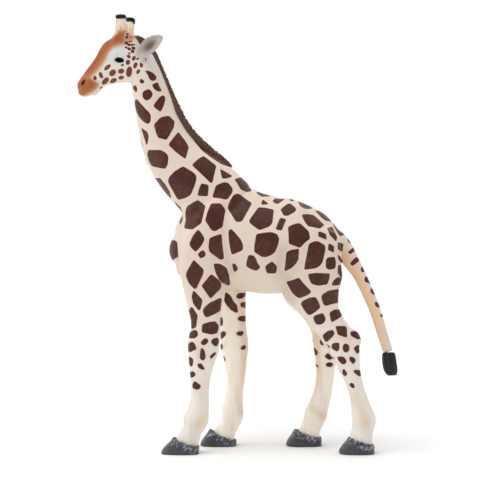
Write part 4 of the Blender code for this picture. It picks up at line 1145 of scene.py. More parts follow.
def paint_sprays(skin):
    """The airbrushed shades, and the painted light on the legs' inward faces, as one number per point
    for each colour.
    """
    x, _, z = skin.points.T
    sprays = {}
    drawn = on_card(skin.points)
    for name, (soft, *outline) in FACE_SPRAYS.items():
        deep = inside_by(drawn, np.array(outline, float).reshape(-1, 2))
        sprays[name] = ease(-soft, soft, deep) * np.isin(skin.part, HEAD_PARTS)
    reach = np.zeros(len(x))
    for side in SIDES.values():
        horn = turned(skin.points, horn_place(side).inverted())
        close = 1 - ease(4.0, 6.5, np.hypot(horn[:, 0], horn[:, 1]))
        reach = np.maximum(reach, close * ease(3.0, 7.5, horn[:, 2]))
    streak = np.hypot((drawn[:, 0] + 58.6) / 0.9, (drawn[:, 1] - 210.6) / 1.6)
    sprays["horn"] = np.maximum(reach * 0.9, sprays["horn"]) * (1 - 0.85 * np.exp(-(streak**2)))
    sprays["pale"] = ease(178.0, 194.0, z) * (x < -40) * 0.8
    hollow, rim = np.zeros(len(x)), np.zeros(len(x))
    for side_name, side in SIDES.items():
        own = turned(skin.points, ear_place(side_name).inverted())
        share_along = own[:, 0] / EAR_LENGTH
        spread = np.maximum(0.3, EAR_HALF_WIDTH * (0.25 + 0.75 * np.sin(
            math.pi * np.clip(0.10 + share_along * 0.86, 0, 1))))
        share = np.abs(own[:, 2]) / spread
        opening = side * own[:, 1] - EAR_CUP * share**2 + 0.9 * share_along**2
        on_ear = skin.part == "ear_" + side_name
        cupped = ease(-0.3, 0.3, opening) * on_ear
        hollow = np.maximum(hollow, cupped * (1 - ease(0.0, 0.95, share))
                            * ease(0.5, 6.5, own[:, 0]) * (1 - ease(7.5, 14.0, own[:, 0])))
        rim = np.maximum(rim, on_ear * (0.5 + 0.5 * cupped))
    sprays["ear_hollow"] = hollow
    sprays["ear_grey"] = rim
    warm = tint(skin.points, WARM_SPRAYS)
    # Painted light: the legs' inward faces are painted lighter below the body, to make up for the shade
    # that falls between the legs.
    inner = np.zeros(len(x))
    for name, stations in LEGS.items():
        on_leg = (skin.part == name) * 1.0
        inward = -side_of(name) * skin.normals[:, 1]
        middle, deep = profile(stations, z)
        edge = (x - middle) / deep * (1 if "front" in name else -1)
        upper = 1 - ease(58.0, 71.0, z) * (name == "leg_hind_right")
        warm = np.maximum(warm, on_leg * ease(-0.1, 0.7, inward) * ease(12.0, 40.0, z) * 0.65 * upper
                          * ease(-0.1, 0.9, edge))
        inner = np.maximum(inner, on_leg * ease(-0.3, 0.5, inward) * (1 - ease(70.0, 93.0, z)))
        start, end = FETLOCKS[name]
        line = np.stack([x - start[0], z - start[1]], axis=1)
        run = np.array(end) - np.array(start)
        share = np.clip(line @ run / (run @ run), 0, 1)
        off = np.hypot(*(line - share[:, None] * run).T)
        warm = np.maximum(warm, on_leg * 0.6 * np.exp(-((off / 2.8) ** 2)) * (0.6 + 0.4 * share))
    sprays["warm"] = np.clip(warm, 0, 1)
    middle, deep = profile(TAIL, z)
    back = (x - middle) / deep
    tail = ease(49.0, 55.0, x) * (back > -3) * np.isin(skin.part, ("tail", "trunk"))
    sprays["tail"] = tail * (1 - ease(-0.1, 1.0, back)) * (1 - 0.6 * ease(72.0, 54.0, z))
    sprays["belly"] = ease(0.25, 0.85, -skin.normals[:, 2]) * (skin.part == "trunk")
    sprays["inner"] = inner
    sprays["shin"] = np.isin(skin.part, tuple(LEGS)) * (1 - ease(48.0, 92.0, z))
    return sprays


# ---- paints


def maths(operation, reflected=False):
    """A method for one kind of arithmetic; when it is reflected the other value comes first."""
    def method(self, other):
        first, second = (other, self) if reflected else (self, other)
        return self.bench.node("ShaderNodeMath", {"operation": operation}, {0: first, 1: second})
    return method


class Wire:
    """One output of a node tree; arithmetic on it adds Math nodes."""

    __add__, __radd__ = maths("ADD"), maths("ADD", reflected=True)
    __sub__, __rsub__ = maths("SUBTRACT"), maths("SUBTRACT", reflected=True)
    __mul__, __rmul__ = maths("MULTIPLY"), maths("MULTIPLY", reflected=True)
    most, least = maths("MAXIMUM"), maths("MINIMUM")

    def __init__(self, bench, socket):
        self.bench, self.socket = bench, socket

    def eased(self, low, high):
        """0 up to low, 1 from high, and smooth between them."""
        return self.bench.node("ShaderNodeMapRange", {"interpolation_type": "SMOOTHSTEP"},
                               {0: self, 1: low, 2: high, 3: 0.0, 4: 1.0})


class Nodes:
    """Puts a node tree together."""

    def __init__(self, tree):
        self.tree = tree

    def node(self, kind, settings=None, values=None, output=0):
        made = self.tree.nodes.new(kind)
        for key, value in (settings or {}).items():
            setattr(made, key, value)
        for key, value in (values or {}).items():
            self.plug(value, made.inputs[key])
        return Wire(self, made.outputs[output])

    def plug(self, value, socket):
        if isinstance(value, Wire):
            self.tree.links.new(value.socket, socket)
        else:
            socket.default_value = value


class Bench(Nodes):
    """Where one paint's nodes are put together."""

    def __init__(self, name):
        self.paint = bpy.data.materials.new(name)
        self.paint.use_nodes = True
        super().__init__(self.paint.node_tree)
        self.shader = self.tree.nodes["Principled BSDF"]

    def mix(self, first, second, share):
        """A colour between two, by how much of the second there is."""
        colours = [c if isinstance(c, Wire) else (*c, 1.0)[:4] for c in (first, second)]
        return self.node("ShaderNodeMix", {"data_type": "RGBA"},
                         {0: share, 6: colours[0], 7: colours[1]}, output=2)

    def layers(self, ground, *coats):
        """A ground with colours laid over it in turn, each by how much of it there is."""
        for paint, share in coats:
            ground = self.mix(ground, paint, share)
        return ground

    def attribute(self, name):
        return self.node("ShaderNodeAttribute", {"attribute_name": name}, output=2)

    def place(self, scale=(1.0, 1.0, 1.0), turn=(0.0, 0.0, 0.0), at=(0.0, 0.0, 0.0)):
        """Where a pattern is read: the object's own coordinates, in metres."""
        spot = self.node("ShaderNodeTexCoord", output=3)
        return self.node("ShaderNodeMapping", {"vector_type": "TEXTURE"},
                         {0: spot, 1: at, 2: turn, 3: scale})

    def noise(self, size, detail=3.0, where=None, roughness=0.5, warp=0.0):
        """A soft random pattern with features of about that size in metres; 0 to 1."""
        where = where or self.node("ShaderNodeTexCoord", output=3)
        return self.node("ShaderNodeTexNoise", {}, {"Vector": where, "Scale": 1.0 / size,
                                                   "Detail": detail, "Roughness": roughness,
                                                   "Distortion": warp})

    def finish(self, colour, roughness, relief=None, depth=0.0001, **fixed):
        """Feeds the shader. Fixed values go straight on its own sockets."""
        self.plug(colour if isinstance(colour, Wire) else (*colour, 1.0)[:4],
                  self.shader.inputs["Base Color"])
        self.plug(roughness, self.shader.inputs["Roughness"])
        if relief is not None:
            bump = self.node("ShaderNodeBump", {}, {"Height": relief, "Distance": depth,
                                                   "Strength": 1.0})
            self.plug(bump, self.shader.inputs["Normal"])
        for key, value in fixed.items():
            self.shader.inputs[key.replace("_", " ")].default_value = value
        return self.paint


def linear(red, green, blue):
    """A paint chip's 0 to 255 values as the scene's own."""
    found = []
    for value in (red, green, blue):
        v = value / 255
        found.append(v / 12.92 if v <= 0.04045 else ((v + 0.055) / 1.055) ** 2.4)
    return tuple(found)


def colour(label, *chip):
    return FloatVectorProperty(name=label, description=f"{label} of the toy's paint",
                               subtype="COLOR", size=3, min=0.0, max=1.0, default=linear(*chip))


def length(label, note, default, low=0.0):
    return FloatProperty(name=label, description=note, default=default, min=low, unit="LENGTH",
                         subtype="DISTANCE", precision=5)


def level(label, note, default):
    return FloatProperty(name=label, description=note, default=default, min=0.0)


class CoatSettings(PropertyGroup):
    """Sizes and colours of the painted skin."""

    grain: length("Grain", "Spacing of the skin's mesh", 0.0007, 0.0003)
    softness: length("Edge Softness", "How far a marking's painted edge fades", 0.00011)
    cream: colour("Cream Ground", 222, 205, 190)
    belly: colour("Belly", 222, 210, 186)
    shin: colour("Legs", 234, 226, 217)
    # Painted light: lighter paint on the legs' inward faces, to make up for the shade between the legs.
    inner: colour("Inner Legs", 252, 243, 229)
    warm: colour("Warm Shading", 224, 190, 156)
    patch: colour("Coat Patches", 68, 28, 18)
    face_patch: colour("Face Patches", 108, 44, 24)
    muzzle: colour("Muzzle", 168, 90, 46)
    lip: colour("Lips", 206, 160, 112)
    bridge: colour("Nose Bridge", 176, 104, 56)
    forehead: colour("Forehead", 144, 68, 28)
    horn_root: colour("Horn Roots", 228, 192, 158)
    eye_ring: colour("Around the Eyes", 207, 206, 204)
    ear_grey: colour("Ears", 172, 166, 156)
    ear_hollow: colour("Ear Hollows", 92, 76, 64)
    tail: colour("Tail", 232, 197, 162)
    # Painted shade along the creases; the same colour also greys the legs in random streaks.
    fold: colour("Folds", 186, 168, 158)
    blush: colour("Patch Edges", 232, 202, 186)
    pale: colour("Head and Throat", 216, 211, 202)
    lining: colour("Eye and Nostril Lining", 14, 11, 10)


MOTTLE = (0.62, 0.5, 0.42)  # what clouds the ground
WEAR = (0.16, 0.07, 0.05)  # what the patches wear down to


def coat_paint(coat):
    bench = Bench("coat_paint")
    spray = {name: bench.attribute(name) for name in
             ("warm", "belly", "shin", "muzzle", "bridge", "forehead", "eye_ring", "ear_grey",
              "ear_hollow", "tail", "lining", "crease_shade", "lip", "ear_base", "pale", "horn", "inner")}
    broad = bench.noise(0.009, 2.0)
    fine = bench.noise(0.0011, 3.0)
    cloudy = bench.noise(0.004, 2.0)
    streak = bench.noise(0.0026, 2.0, where=bench.place((1.0, 1.0, 6.0)))
    ground = bench.layers(
        coat.cream, (coat.pale, spray["pale"]), (coat.belly, spray["belly"] * 0.85),
        # Painted light on the legs' inward faces.
        (coat.shin, spray["shin"]), (coat.inner, spray["inner"] * 0.9),
        # The fold colour greys the legs in random streaks, and is painted shade along the creases.
        (coat.fold, (streak - 0.45).eased(0.0, 0.3) * spray["shin"] * 0.22),
        (coat.fold, spray["crease_shade"] * 0.4),
        (coat.warm, (spray["warm"] + (broad - 0.5) * 0.26).eased(0.0, 1.0)),
        (coat.tail, spray["tail"]), (coat.eye_ring, spray["eye_ring"]),
        (coat.bridge, spray["bridge"]),
        (coat.forehead, spray["forehead"] * (cloudy * 0.9 + 0.35).least(1.0)),
        (coat.lip, spray["lip"]), (coat.muzzle, spray["muzzle"]),
        (coat.bridge, spray["muzzle"] * (cloudy - 0.42).eased(0.0, 0.3) * 0.7),
        (coat.horn_root, spray["horn"]), (coat.ear_grey, spray["ear_base"] * 0.75),
        (coat.ear_grey, spray["ear_grey"]), (coat.ear_hollow, spray["ear_hollow"]),
        (MOTTLE, (fine - 0.5).eased(0.0, 0.5) * 0.10))
    # The markings' edge wavers a little, as a masked spray does.
    deep = bench.attribute("mark") + (bench.noise(0.0014, 2.0) - 0.5) * 0.22
    soft = coat.softness / MM
    tone = bench.attribute("tone")
    masked = (deep + tone * 0.1).eased(-soft, soft)
    brush = bench.noise(0.0006, 3.0, where=bench.place((1.0, 1.0, 6.0), (0.0, 0.6, 0.0)))
    worn = bench.layers(coat.patch, (coat.face_patch, tone),
                        (WEAR, (broad * 0.5 + brush * 0.7 - 0.5).eased(0.0, 0.4) * 0.5))
    halo = (deep.eased(-1.4, 0.0) * (1.0 - masked)) * (0.3 + broad * 0.4) * (1 - tone)
    painted = bench.layers(ground, (coat.blush, halo), (worn, masked),
                           (coat.lining, spray["lining"]))
    stipple = bench.noise(0.00035, 2.0)
    rough = 0.46 - masked * 0.09 + (stipple - 0.5) * 0.14 + (broad - 0.5) * 0.08
    relief = masked * 0.35 + stipple * 0.25 + fine * 0.3 + brush * (0.2 + masked * 0.7)
    return bench.finish(painted, rough, relief, 0.00007, Specular_IOR_Level=0.3)


class HairSettings(PropertyGroup):
    """The mane's locks and the tail tuft's strands."""

    lock_spacing: length("Lock Spacing", "Distance from one lock of the mane to the next", 0.0008)
    lock_width: length("Lock Width", "Width of one lock along the neck", 0.00112)
    lock_depth: length("Lock Depth", "Thickness of one lock across the neck", 0.0027)
    seed: IntProperty(name="Seed", description="Picks the locks' small differences", default=4, min=0)
    strands: IntProperty(name="Tuft Strands", description="Strands round the tail's tuft", default=30,
                         min=8, max=80)
    strand_radius: length("Strand Radius", "Half the thickness of one strand", 0.00055)
    mane: colour("Mane", 76, 43, 35)
    # Lighter paint, partly in random clumps and partly as a painted highlight on the locks' proud edges.
    mane_light: colour("Mane Lights", 122, 86, 74)
    tuft: colour("Tuft", 13, 12, 12)
    tuft_light: colour("Tuft Lights", 44, 42, 42)


class HornSettings(PropertyGroup):
    """The ossicones and their tips."""

    ridges: IntProperty(name="Ridges", description="Fine ridges round each horn", default=17, min=5)
    ridge_depth: length("Ridge Depth", "How deep the ridges are cut", 0.0001)
    skin: colour("Horn Skin", 236, 220, 202)
    blush: colour("Horn Roots", 226, 184, 146)
    streak: colour("Streaks", 168, 128, 100)
    tip: colour("Tips", 12, 11, 11)
    tip_light: colour("Tip Lights", 48, 46, 46)


class HoofSettings(PropertyGroup):
    """The cloven hooves."""

    horn: colour("Hoof", 60, 61, 72)
    fleck: colour("Flecks", 186, 190, 200)
    # Painted shade: the dark line along the hoof's top, where the leg goes into it; it also darkens
    # random blotches.
    shadow: colour("Shadow", 34, 35, 44)
    sole: colour("Sole", 66, 66, 68)


class EyeSettings(PropertyGroup):
    """The glossy eyes."""

    iris: colour("Iris", 22, 13, 9)
    pupil: colour("Pupil", 6, 5, 5)


class StageSettings(PropertyGroup):
    """The floor and the studio's light."""

    floor: colour("Floor", 252, 252, 252)
    glow: level("Floor Glow", "The floor's own light", 0.16)
    reach: length("Floor Reach", "Half the floor's width", 6.0)
    sky: level("Sky", "How bright the room is", 1.0)
    front: level("Front", "How bright the room's dim end is", 0.55)
    key: level("Key Light", "The overhead lamp's power", 3.6)
    fill: level("Fill Light", "The left lamp's power", 1.0)


# ---- geometry node trees


class Tree(Nodes):
    """A Geometry Nodes tree under construction."""

    def __init__(self, name, sockets):
        super().__init__(bpy.data.node_groups.new(name, "GeometryNodeTree"))
        face = self.tree.interface
        face.new_socket("Geometry", in_out="INPUT", socket_type="NodeSocketGeometry")
        self.keys = {}
        for label, kind in sockets.items():
            made = face.new_socket(label, in_out="INPUT", socket_type="NodeSocket" + kind)
            self.keys[label] = made.identifier
        face.new_socket("Geometry", in_out="OUTPUT", socket_type="NodeSocketGeometry")
        self.entry = self.tree.nodes.new("NodeGroupInput")
        self.exit = self.tree.nodes.new("NodeGroupOutput")

    def given(self, label):
        return Wire(self, self.entry.outputs[label])

    def close(self, geometry, paint):
        real = self.node("GeometryNodeRealizeInstances", {}, {0: geometry})
        dressed = self.node("GeometryNodeSetMaterial", {}, {"Geometry": real, "Material": paint})
        self.plug(dressed, self.exit.inputs[0])

    def grow(self, obj, **values):
        """Runs the tree on the object and leaves its result as a plain mesh."""
        modifier = obj.modifiers.new(self.tree.name, "NODES")
        modifier.node_group = self.tree
        for label, value in values.items():
            modifier[self.keys[label]] = value
        grown = new_object(obj.name + "_grown", evaluated(obj))
        bpy.data.objects.remove(obj)
        return grown


def path_object(name, paths):
    """A curve object of straight-stepped paths; each point is a place and a radius in metres."""
    curve = bpy.data.curves.new(name, "CURVE")
    curve.dimensions = "3D"
    for path in paths:
        spline = curve.splines.new("POLY")
        spline.points.add(len(path) - 1)
        for point, (place, radius) in zip(spline.points, path):
            point.co = (*place, 1.0)
            point.radius = radius
    return new_object(name, curve)


def locks_tree(paint):
    """Blunt locks of hair that stand side by side along a crest."""
    tree = Tree("Mane Locks", {"Spacing": "Float", "Width": "Float", "Depth": "Float", "Seed": "Int"})
    crest = tree.node("GeometryNodeResampleCurve", {"mode": "LENGTH"},
                      {"Curve": tree.given("Geometry"), "Length": tree.given("Spacing")})
    lock = tree.node("GeometryNodeMeshCone", {}, {"Vertices": 8, "Side Segments": 3,
                                                  "Fill Segments": 1, "Radius Top": 0.44,
                                                  "Radius Bottom": 0.5, "Depth": 1.0})
    lock = tree.node("GeometryNodeTransform", {}, {"Geometry": lock, "Translation": (0.0, 0.0, -0.5)})
    along = tree.node("GeometryNodeInputTangent")
    lean = tree.node("FunctionNodeAlignRotationToVector", {"axis": "X", "pivot_axis": "Y"},
                     {"Vector": along})
    tilt = tree.node("FunctionNodeRandomValue", {"data_type": "FLOAT_VECTOR"},
                     {0: (-0.06, -0.10, -0.10), 1: (0.06, 0.22, 0.10), "Seed": tree.given("Seed")})
    swing = tree.node("FunctionNodeEulerToRotation", {}, {0: tilt})
    turn = tree.node("FunctionNodeRotateRotation", {"rotation_space": "LOCAL"}, {0: lean, 1: swing})
    varied = tree.node("FunctionNodeRandomValue", {"data_type": "FLOAT"},
                       {2: 0.92, 3: 1.06, "Seed": tree.given("Seed")}, output=1)
    size = tree.node("ShaderNodeCombineXYZ", {},
                     {0: tree.given("Width"), 1: tree.given("Depth"),
                      2: tree.node("GeometryNodeInputRadius") * varied})
    stood = tree.node("GeometryNodeInstanceOnPoints", {},
                      {"Points": crest, "Instance": lock, "Rotation": turn, "Scale": size})
    tree.close(stood, paint)
    return tree


def strands_tree(paint):
    """Round strands that follow their paths and thin towards the tip."""
    tree = Tree("Tuft Strands", {"Step": "Float", "Radius": "Float"})
    path = tree.node("GeometryNodeResampleCurve", {"mode": "LENGTH"},
                     {"Curve": tree.given("Geometry"), "Length": tree.given("Step")})
    ring = tree.node("GeometryNodeCurvePrimitiveCircle", {}, {"Resolution": 7,
                                                              "Radius": tree.given("Radius")})
    radius = tree.node("GeometryNodeInputRadius")
    sized = tree.node("GeometryNodeSetCurveRadius", {}, {"Curve": path, "Radius": radius})
    swept = tree.node("GeometryNodeCurveToMesh", {}, {"Curve": sized, "Profile Curve": ring,
                                                     "Fill Caps": True})
    tree.close(swept, paint)
    return tree


def hair_paint(name, dark, light, size):
    bench = Bench(name)
    clumps = bench.noise(size, 3.0, warp=0.4)
    fine = bench.noise(size * 0.22, 2.0)
    shade = (clumps * 0.7 + fine * 0.5 - 0.35).eased(0.0, 0.7)
    # A painted highlight on the mane locks' proud edges; the tuft has none.
    tinted = bench.mix(dark, light, (shade * 0.45 + bench.attribute("rib_highlight") * 0.6).least(1.0))
    deep = bench.mix(tinted, [c * 0.45 for c in dark], (0.42 - fine).eased(0.0, 0.25) * 0.6)
    return bench.finish(deep, 0.5 + (fine - 0.5) * 0.25, clumps * 0.4 + fine * 0.6, 0.00012)


def make_mane(hair):
    """The standing mane: a low ridge with a row of locks along it."""
    paint = hair_paint("mane_paint", hair.mane, hair.mane_light, 0.0011)
    core = bmesh.new()
    loft(core, [(x, z, max(half - 0.35, 0.3), thick * 0.62) for x, z, half, thick in MANE],
         taper=0.2, sides=14, steps=6)
    ridge = object_from("mane_ridge", core)
    path = [((x * MM, 0.0, z * MM), 2.0 * half * MM * 1.02)
            for x, z, half, _ in catmull_rom(MANE, 12)]
    crest = path_object("mane_crest", [path])
    locks = locks_tree(paint).grow(crest, Spacing=hair.lock_spacing, Width=hair.lock_width,
                                   Depth=hair.lock_depth, Seed=hair.seed)
    whole = join("mane_hair", [ridge, locks])
    # A painted highlight and painted shade: the locks' proud edges are painted lighter than the grooves
    # between them.
    store(whole.data, "rib_highlight", ease(0.8, 1.25, np.abs(read(whole.data)[:, 1])))
    dress(whole, paint, "mane", "mane")


def tuft_paths(count):
    """Paths that run down the tuft's outside from the tail to its tip, swaying a little."""
    rows = catmull_rom(TUFT, 6)
    paths = []
    for layer, (inset, share) in enumerate(((0.80, 1.0), (0.52, 0.5))):
        number = int(count * share)
        for k in range(number):
            start = math.tau * (k + 0.5 * layer) / number
            sway = noise.noise(Vector((k * 1.7, layer * 3.1, 0.0)))
            path = []
            for i, (x, z, depth, width) in enumerate(rows):
                t = i / (len(rows) - 1)
                angle = start + 0.55 * t * sway + 0.25 * math.sin(3.0 * t + k)
                swell = inset * (1 - 0.10 * (1 - t))
                place = (x + depth * swell * math.cos(angle), width * swell * math.sin(angle), z)
                thick = (0.55 + 0.75 * math.sin(math.pi * min(0.97, 0.12 + 0.85 * t))) \
                    * (1.0 if t < 0.7 else 1.0 - 0.75 * (t - 0.7) / 0.3)
                path.append((tuple(c * MM for c in place), thick))
            paths.append(path)
    return paths


def make_tuft(hair):
    """The dark tuft at the end of the tail."""
    paint = hair_paint("tuft_paint", hair.tuft, hair.tuft_light, 0.0012)
    bm = bmesh.new()
    loft(bm, [(x, z, depth * 0.78, width * 0.78) for x, z, depth, width in TUFT], sides=20, steps=4)
    core = object_from("tuft_core", bm)
    strands = strands_tree(paint).grow(path_object("tuft_paths", tuft_paths(hair.strands)),
                                       Step=0.0007, Radius=hair.strand_radius)
    whole = join("tuft_hair", [core, strands])
    store(whole.data, "rib_highlight", np.zeros(len(whole.data.vertices)))
    dress(whole, paint, "tuft", "tail_tuft")


def horn_paint(horn, name, place):
    bench = Bench(name)
    at, turn, _ = place.decompose()
    streaked = bench.place((1.0, 1.0, 9.0), tuple(turn.to_euler()), tuple(at * MM))
    streak = bench.noise(0.0006, 3.0, where=streaked)
    broad = bench.noise(0.003, 2.0)
    rise = bench.attribute("rise")
    tinted = bench.layers(
        horn.skin, (horn.blush, (0.80 - rise + (streak - 0.5) * 1.4).eased(0.0, 0.6)),
        (horn.streak, (0.75 - rise + (broad - 0.5) * 1.5).eased(0.2, 0.9) * 0.3),
        (horn.streak, (streak - 0.46).eased(0.0, 0.14) * 0.35))
    return bench.finish(tinted, 0.5 + (streak - 0.5) * 0.2, streak, 0.0001)


def tip_paint(horn):
    bench = Bench("horn_tip_paint")
    grain = bench.noise(0.0007, 3.0)
    return bench.finish(bench.mix(horn.tip, horn.tip_light, (grain - 0.5).eased(0.0, 0.3) * 0.7),
                        0.6 + (grain - 0.5) * 0.3, grain, 0.00025, Specular_IOR_Level=0.2)


HORN_SIDES, HORN_LEVELS = 72, 30
# How many times as deep each dark tip is below its middle, and how far it is raised.
HORN_CAPS = {"left": (1.0, 0.32), "right": (2.3, 0.8)}


def horn_stalk(ridge_depth, ridges, place):
    """The ridged stalk, which flares at its root."""
    root, crown = HORN_RADII
    bm = bmesh.new()
    rings = []
    for level in range(HORN_LEVELS):
        height = -2.5 + (HORN_LENGTH + 3.0) * level / (HORN_LEVELS - 1)
        t = min(max(height / HORN_LENGTH, 0.0), 1.0)
        size = crown + (root - crown) * (1 - t) ** 1.3 + 0.8 * math.exp(-((height / 1.6) ** 2))
        cut_depth = ridge_depth / MM * min(max((height - 1.0) / 3.0, 0.0), 1.0)
        ring = []
        for k in range(HORN_SIDES):
            angle = math.tau * k / HORN_SIDES
            c, s = math.cos(angle), math.sin(angle)
            grain = noise.noise(Vector((c * 4.0, s * 4.0, height * 0.16)))
            radius = size + cut_depth * (math.cos(ridges * angle + 1.8 * grain) + 0.8 * grain)
            ring.append(bm.verts.new(place @ Vector((radius * c, radius * s, height)) * MM))
        rings.append(ring)
    tube(bm, rings)
    return bm


def horn_cap(side_name, place):
    """The dark tip: a squared and knobbled ball, kept under the solids' height."""
    skirt, raised = HORN_CAPS[side_name]
    lift = HORN_LENGTH + raised + HORN_TIP_HEIGHT / 2
    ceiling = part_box("ossicone_tip_left")[1][2] + FLOOR * MM
    pattern = Vector((SIDES[side_name] * 3.0, 0, 0))
    bm = bmesh.new()
    made = bmesh.ops.create_uvsphere(bm, u_segments=56, v_segments=36, radius=1.0)
    for vert in made["verts"]:
        x, y, z = vert.co
        corner = 2.6 if z > 0 else 6.0
        point = vert.co * (math.hypot(x, y) ** corner + abs(z) ** corner) ** (-1 / corner)
        near = noise.voronoi(point * 2.3 + pattern, distance_metric="DISTANCE")[0]
        point *= 0.95 + 0.26 * (near[1] - near[0])
        point.z *= 1 if point.z > 0 else skirt
        point.xy *= HORN_TIP_RADIUS * 0.97
        point.z = lift - 0.1 + point.z * (HORN_TIP_HEIGHT / 2 + 0.1)
        vert.co = place @ point * MM
        vert.co.z = min(vert.co.z, ceiling)
    return bm


def make_horns(horn):
    """Two ossicones with ridged skin, and their dark knobbled tips."""
    cap_paint = tip_paint(horn)
    for side_name, side in SIDES.items():
        place = horn_place(side)
        stalk = object_from(f"horn_{side_name}", horn_stalk(horn.ridge_depth, horn.ridges, place))
        held = turned(read(stalk.data), place.inverted())
        store(stalk.data, "rise", np.clip(held[:, 2] / HORN_LENGTH, 0, 1))
        dress(stalk, horn_paint(horn, "horn_paint_" + side_name, place), "coat",
              f"ossicone_{side_name}")
        tip = object_from(f"horn_tip_{side_name}", horn_cap(side_name, place))
        dress(tip, cap_paint, "horn_tip", f"ossicone_tip_{side_name}")


def hoof_paint(hoof):
    bench = Bench("hoof_paint")
    rise = bench.attribute("rise")
    grain = bench.noise(0.0006, 4.0)
    bits = bench.noise(0.0010, 3.0, where=bench.place((1.0, 1.0, 1.5), (0.0, 0.5, 0.0)), warp=0.8)
    broad = bench.noise(0.004, 2.0)
    upper = rise.eased(0.38, 0.7)
    scratched = (bits + upper * 0.10 - 0.62).eased(0.0, 0.09) * upper
    flecked = bench.layers(
        hoof.horn, (hoof.sole, (1.0 - rise).eased(0.45, 0.75)),
        (hoof.shadow, (broad - 0.42).eased(0.0, 0.3) * rise * 0.7),
        # Painted shade: a dark line along the hoof's top edge, where the leg goes into it.
        (hoof.fleck, scratched * 0.6), (hoof.shadow, rise.eased(0.95, 1.0) * 0.8))
    return bench.finish(flecked, 0.36 + (grain - 0.5) * 0.2, grain * 0.3 + bits * 0.9, 0.00035)


def coronet_plane(toe, heel, front, back):
    """A point on the plane where skin meets hoof, and its normal, which points up the leg."""
    middle = Vector(((toe + heel) / 2, 0.0, (front + back) / 2))
    along = Vector((0.62 * (heel - toe), 0.0, back - front)).normalized()
    return middle, Vector((-along.z, 0.0, along.x))


# The ragged fringe of skin over the hoof: waves round it, as height and count.
FRINGE = ((0.10, 7), (0.12, 13), (0.12, 23), (0.10, 37))


def cleft_wedge(toe, lateral):
    """The wedge that splits a hoof from its toe."""
    wedge = bmesh.new()
    bmesh.ops.create_cube(wedge, size=1.0)
    for vert in wedge.verts:
        inside = vert.co.x > 0
        vert.co = Vector((toe + CLEFT_REACH[inside], lateral + vert.co.y * CLEFT_WIDTHS[inside],
                          (vert.co.z + 0.5) * CLEFT_HEIGHT - CLEFT_DROP)) * MM
    tilt = (Matrix.Translation((toe * MM, 0.0, 0.0)) @ Matrix.Rotation(CLEFT_LEAN, 4, "Y")
            @ Matrix.Translation((-toe * MM, 0.0, 0.0)))
    bmesh.ops.transform(wedge, matrix=tilt, verts=wedge.verts)
    return object_from("cleft", wedge)


def make_hooves(hoof):
    """Four cloven hooves with growth rings."""
    paint = hoof_paint(hoof)
    for name, (toe, heel, front, back, slope) in HOOVES.items():
        lateral = side_of(name) * LEG_Y
        stations = []
        for along, height, width in HOOF_PROFILE:
            top = height * front
            x = toe + along * (heel - toe) * (slope if along < 0.5 else 1.0)
            stations.append((x, 0.25 * top, 0.75 * top, HOOF_HALF_WIDTH * width))
        bm = bmesh.new()
        loft(bm, stations, lateral=lateral, sides=64, steps=5, upright=True, squared=0.8)
        middle, normal = coronet_plane(toe, heel, front, back)
        for point, outward in ((Vector((0, 0, FLOOR)), Vector((0, 0, -1))),
                               (middle - normal * 0.3, normal)):
            geometry = bm.verts[:] + bm.edges[:] + bm.faces[:]
            cut = bmesh.ops.bisect_plane(bm, geom=geometry, plane_co=point * MM, plane_no=outward,
                                         clear_outer=True)
            rim = [edge for edge in cut["geom_cut"] if isinstance(edge, bmesh.types.BMEdge)]
            bmesh.ops.edgeloop_fill(bm, edges=rim)
        obj = object_from("hoof_shape_" + name, bm)
        cutter = cleft_wedge(toe, lateral)
        obj.modifiers.new("Cleft", "BOOLEAN").object = cutter
        settle(obj)
        bpy.data.objects.remove(cutter)
        fuse(obj, HOOF_GRAIN * MM, 3)
        points, normals = read(obj.data), read(obj.data, normals=True)
        height = (points - np.array(middle)) @ np.array(normal)
        wall = ease(0.3, 0.8, 1 - np.abs(normals @ np.array((0.0, 0.0, 1.0))))
        wall *= ease(0.6, 1.6, points[:, 2] - FLOOR)
        ripple = 0.05 * np.sin(height * 4.6 + 0.6 * np.sin(points[:, 0] * 0.9)) * wall
        points += normals * ripple[:, None]
        bearing = np.arctan2(points[:, 1] - lateral, points[:, 0] - middle.x)
        teeth = 0.25 + 0.5 * np.exp(-((np.abs(bearing) - math.pi) / 0.3) ** 2) + sum(
            size * np.sin(count * bearing + count * toe) for size, count in FRINGE)
        points += np.outer(teeth * ease(-2.0, -0.3, height), np.array(normal))
        points[:, 2] = np.maximum(points[:, 2], FLOOR)
        write(obj.data, points)
        store(obj.data, "rise", np.clip(1 + height / 7.5, 0, 1))
        dress(obj, paint, "hoof", "hoof_" + name)


def eye_paint(eye):
    bench = Bench("eye_paint")
    ring = bench.attribute("ring")
    fibres = bench.noise(0.0005, 2.0)
    shade = bench.mix(eye.pupil, eye.iris, ring.eased(0.42, 0.52) * (1.0 - ring.eased(0.75, 0.95))
                      * (0.6 + fibres * 0.6))
    return bench.finish(shade, 0.20 + fibres * 0.04, Coat_Weight=0.02, Coat_Roughness=0.05,
                        Specular_IOR_Level=0.03)


EYE_HALVES = (2.75, 2.0, 1.95)  # half the eyeball's length, height and depth
EYE_SINK = 1.75  # how far its middle lies behind the face


def make_eyes(eye, places):
    """Two glossy eyeballs behind the lids."""
    paint = eye_paint(eye)
    for side_name, (centre, along, up, facing) in places.items():
        bm = bmesh.new()
        made = bmesh.ops.create_uvsphere(bm, u_segments=48, v_segments=32, radius=1.0)
        basis = Matrix((along, up, facing)).transposed()
        for vert in made["verts"]:
            vert.co = (Vector(centre) - Vector(facing) * EYE_SINK
                       + basis @ (vert.co * Vector(EYE_HALVES))) * MM
        ball = object_from("eyeball_" + side_name, bm)
        away = read(ball.data) - np.array(centre)
        store(ball.data, "ring", np.hypot(away @ np.array(along), away @ np.array(up)) / 2.0)
        dress(ball, paint, "eye", "eye_" + side_name)


# ---- operators

SKIN_NODES = ("head", "neck", "trunk", "tail", *LEGS, "ear_left", "ear_right")
EYE_PLACES = {}


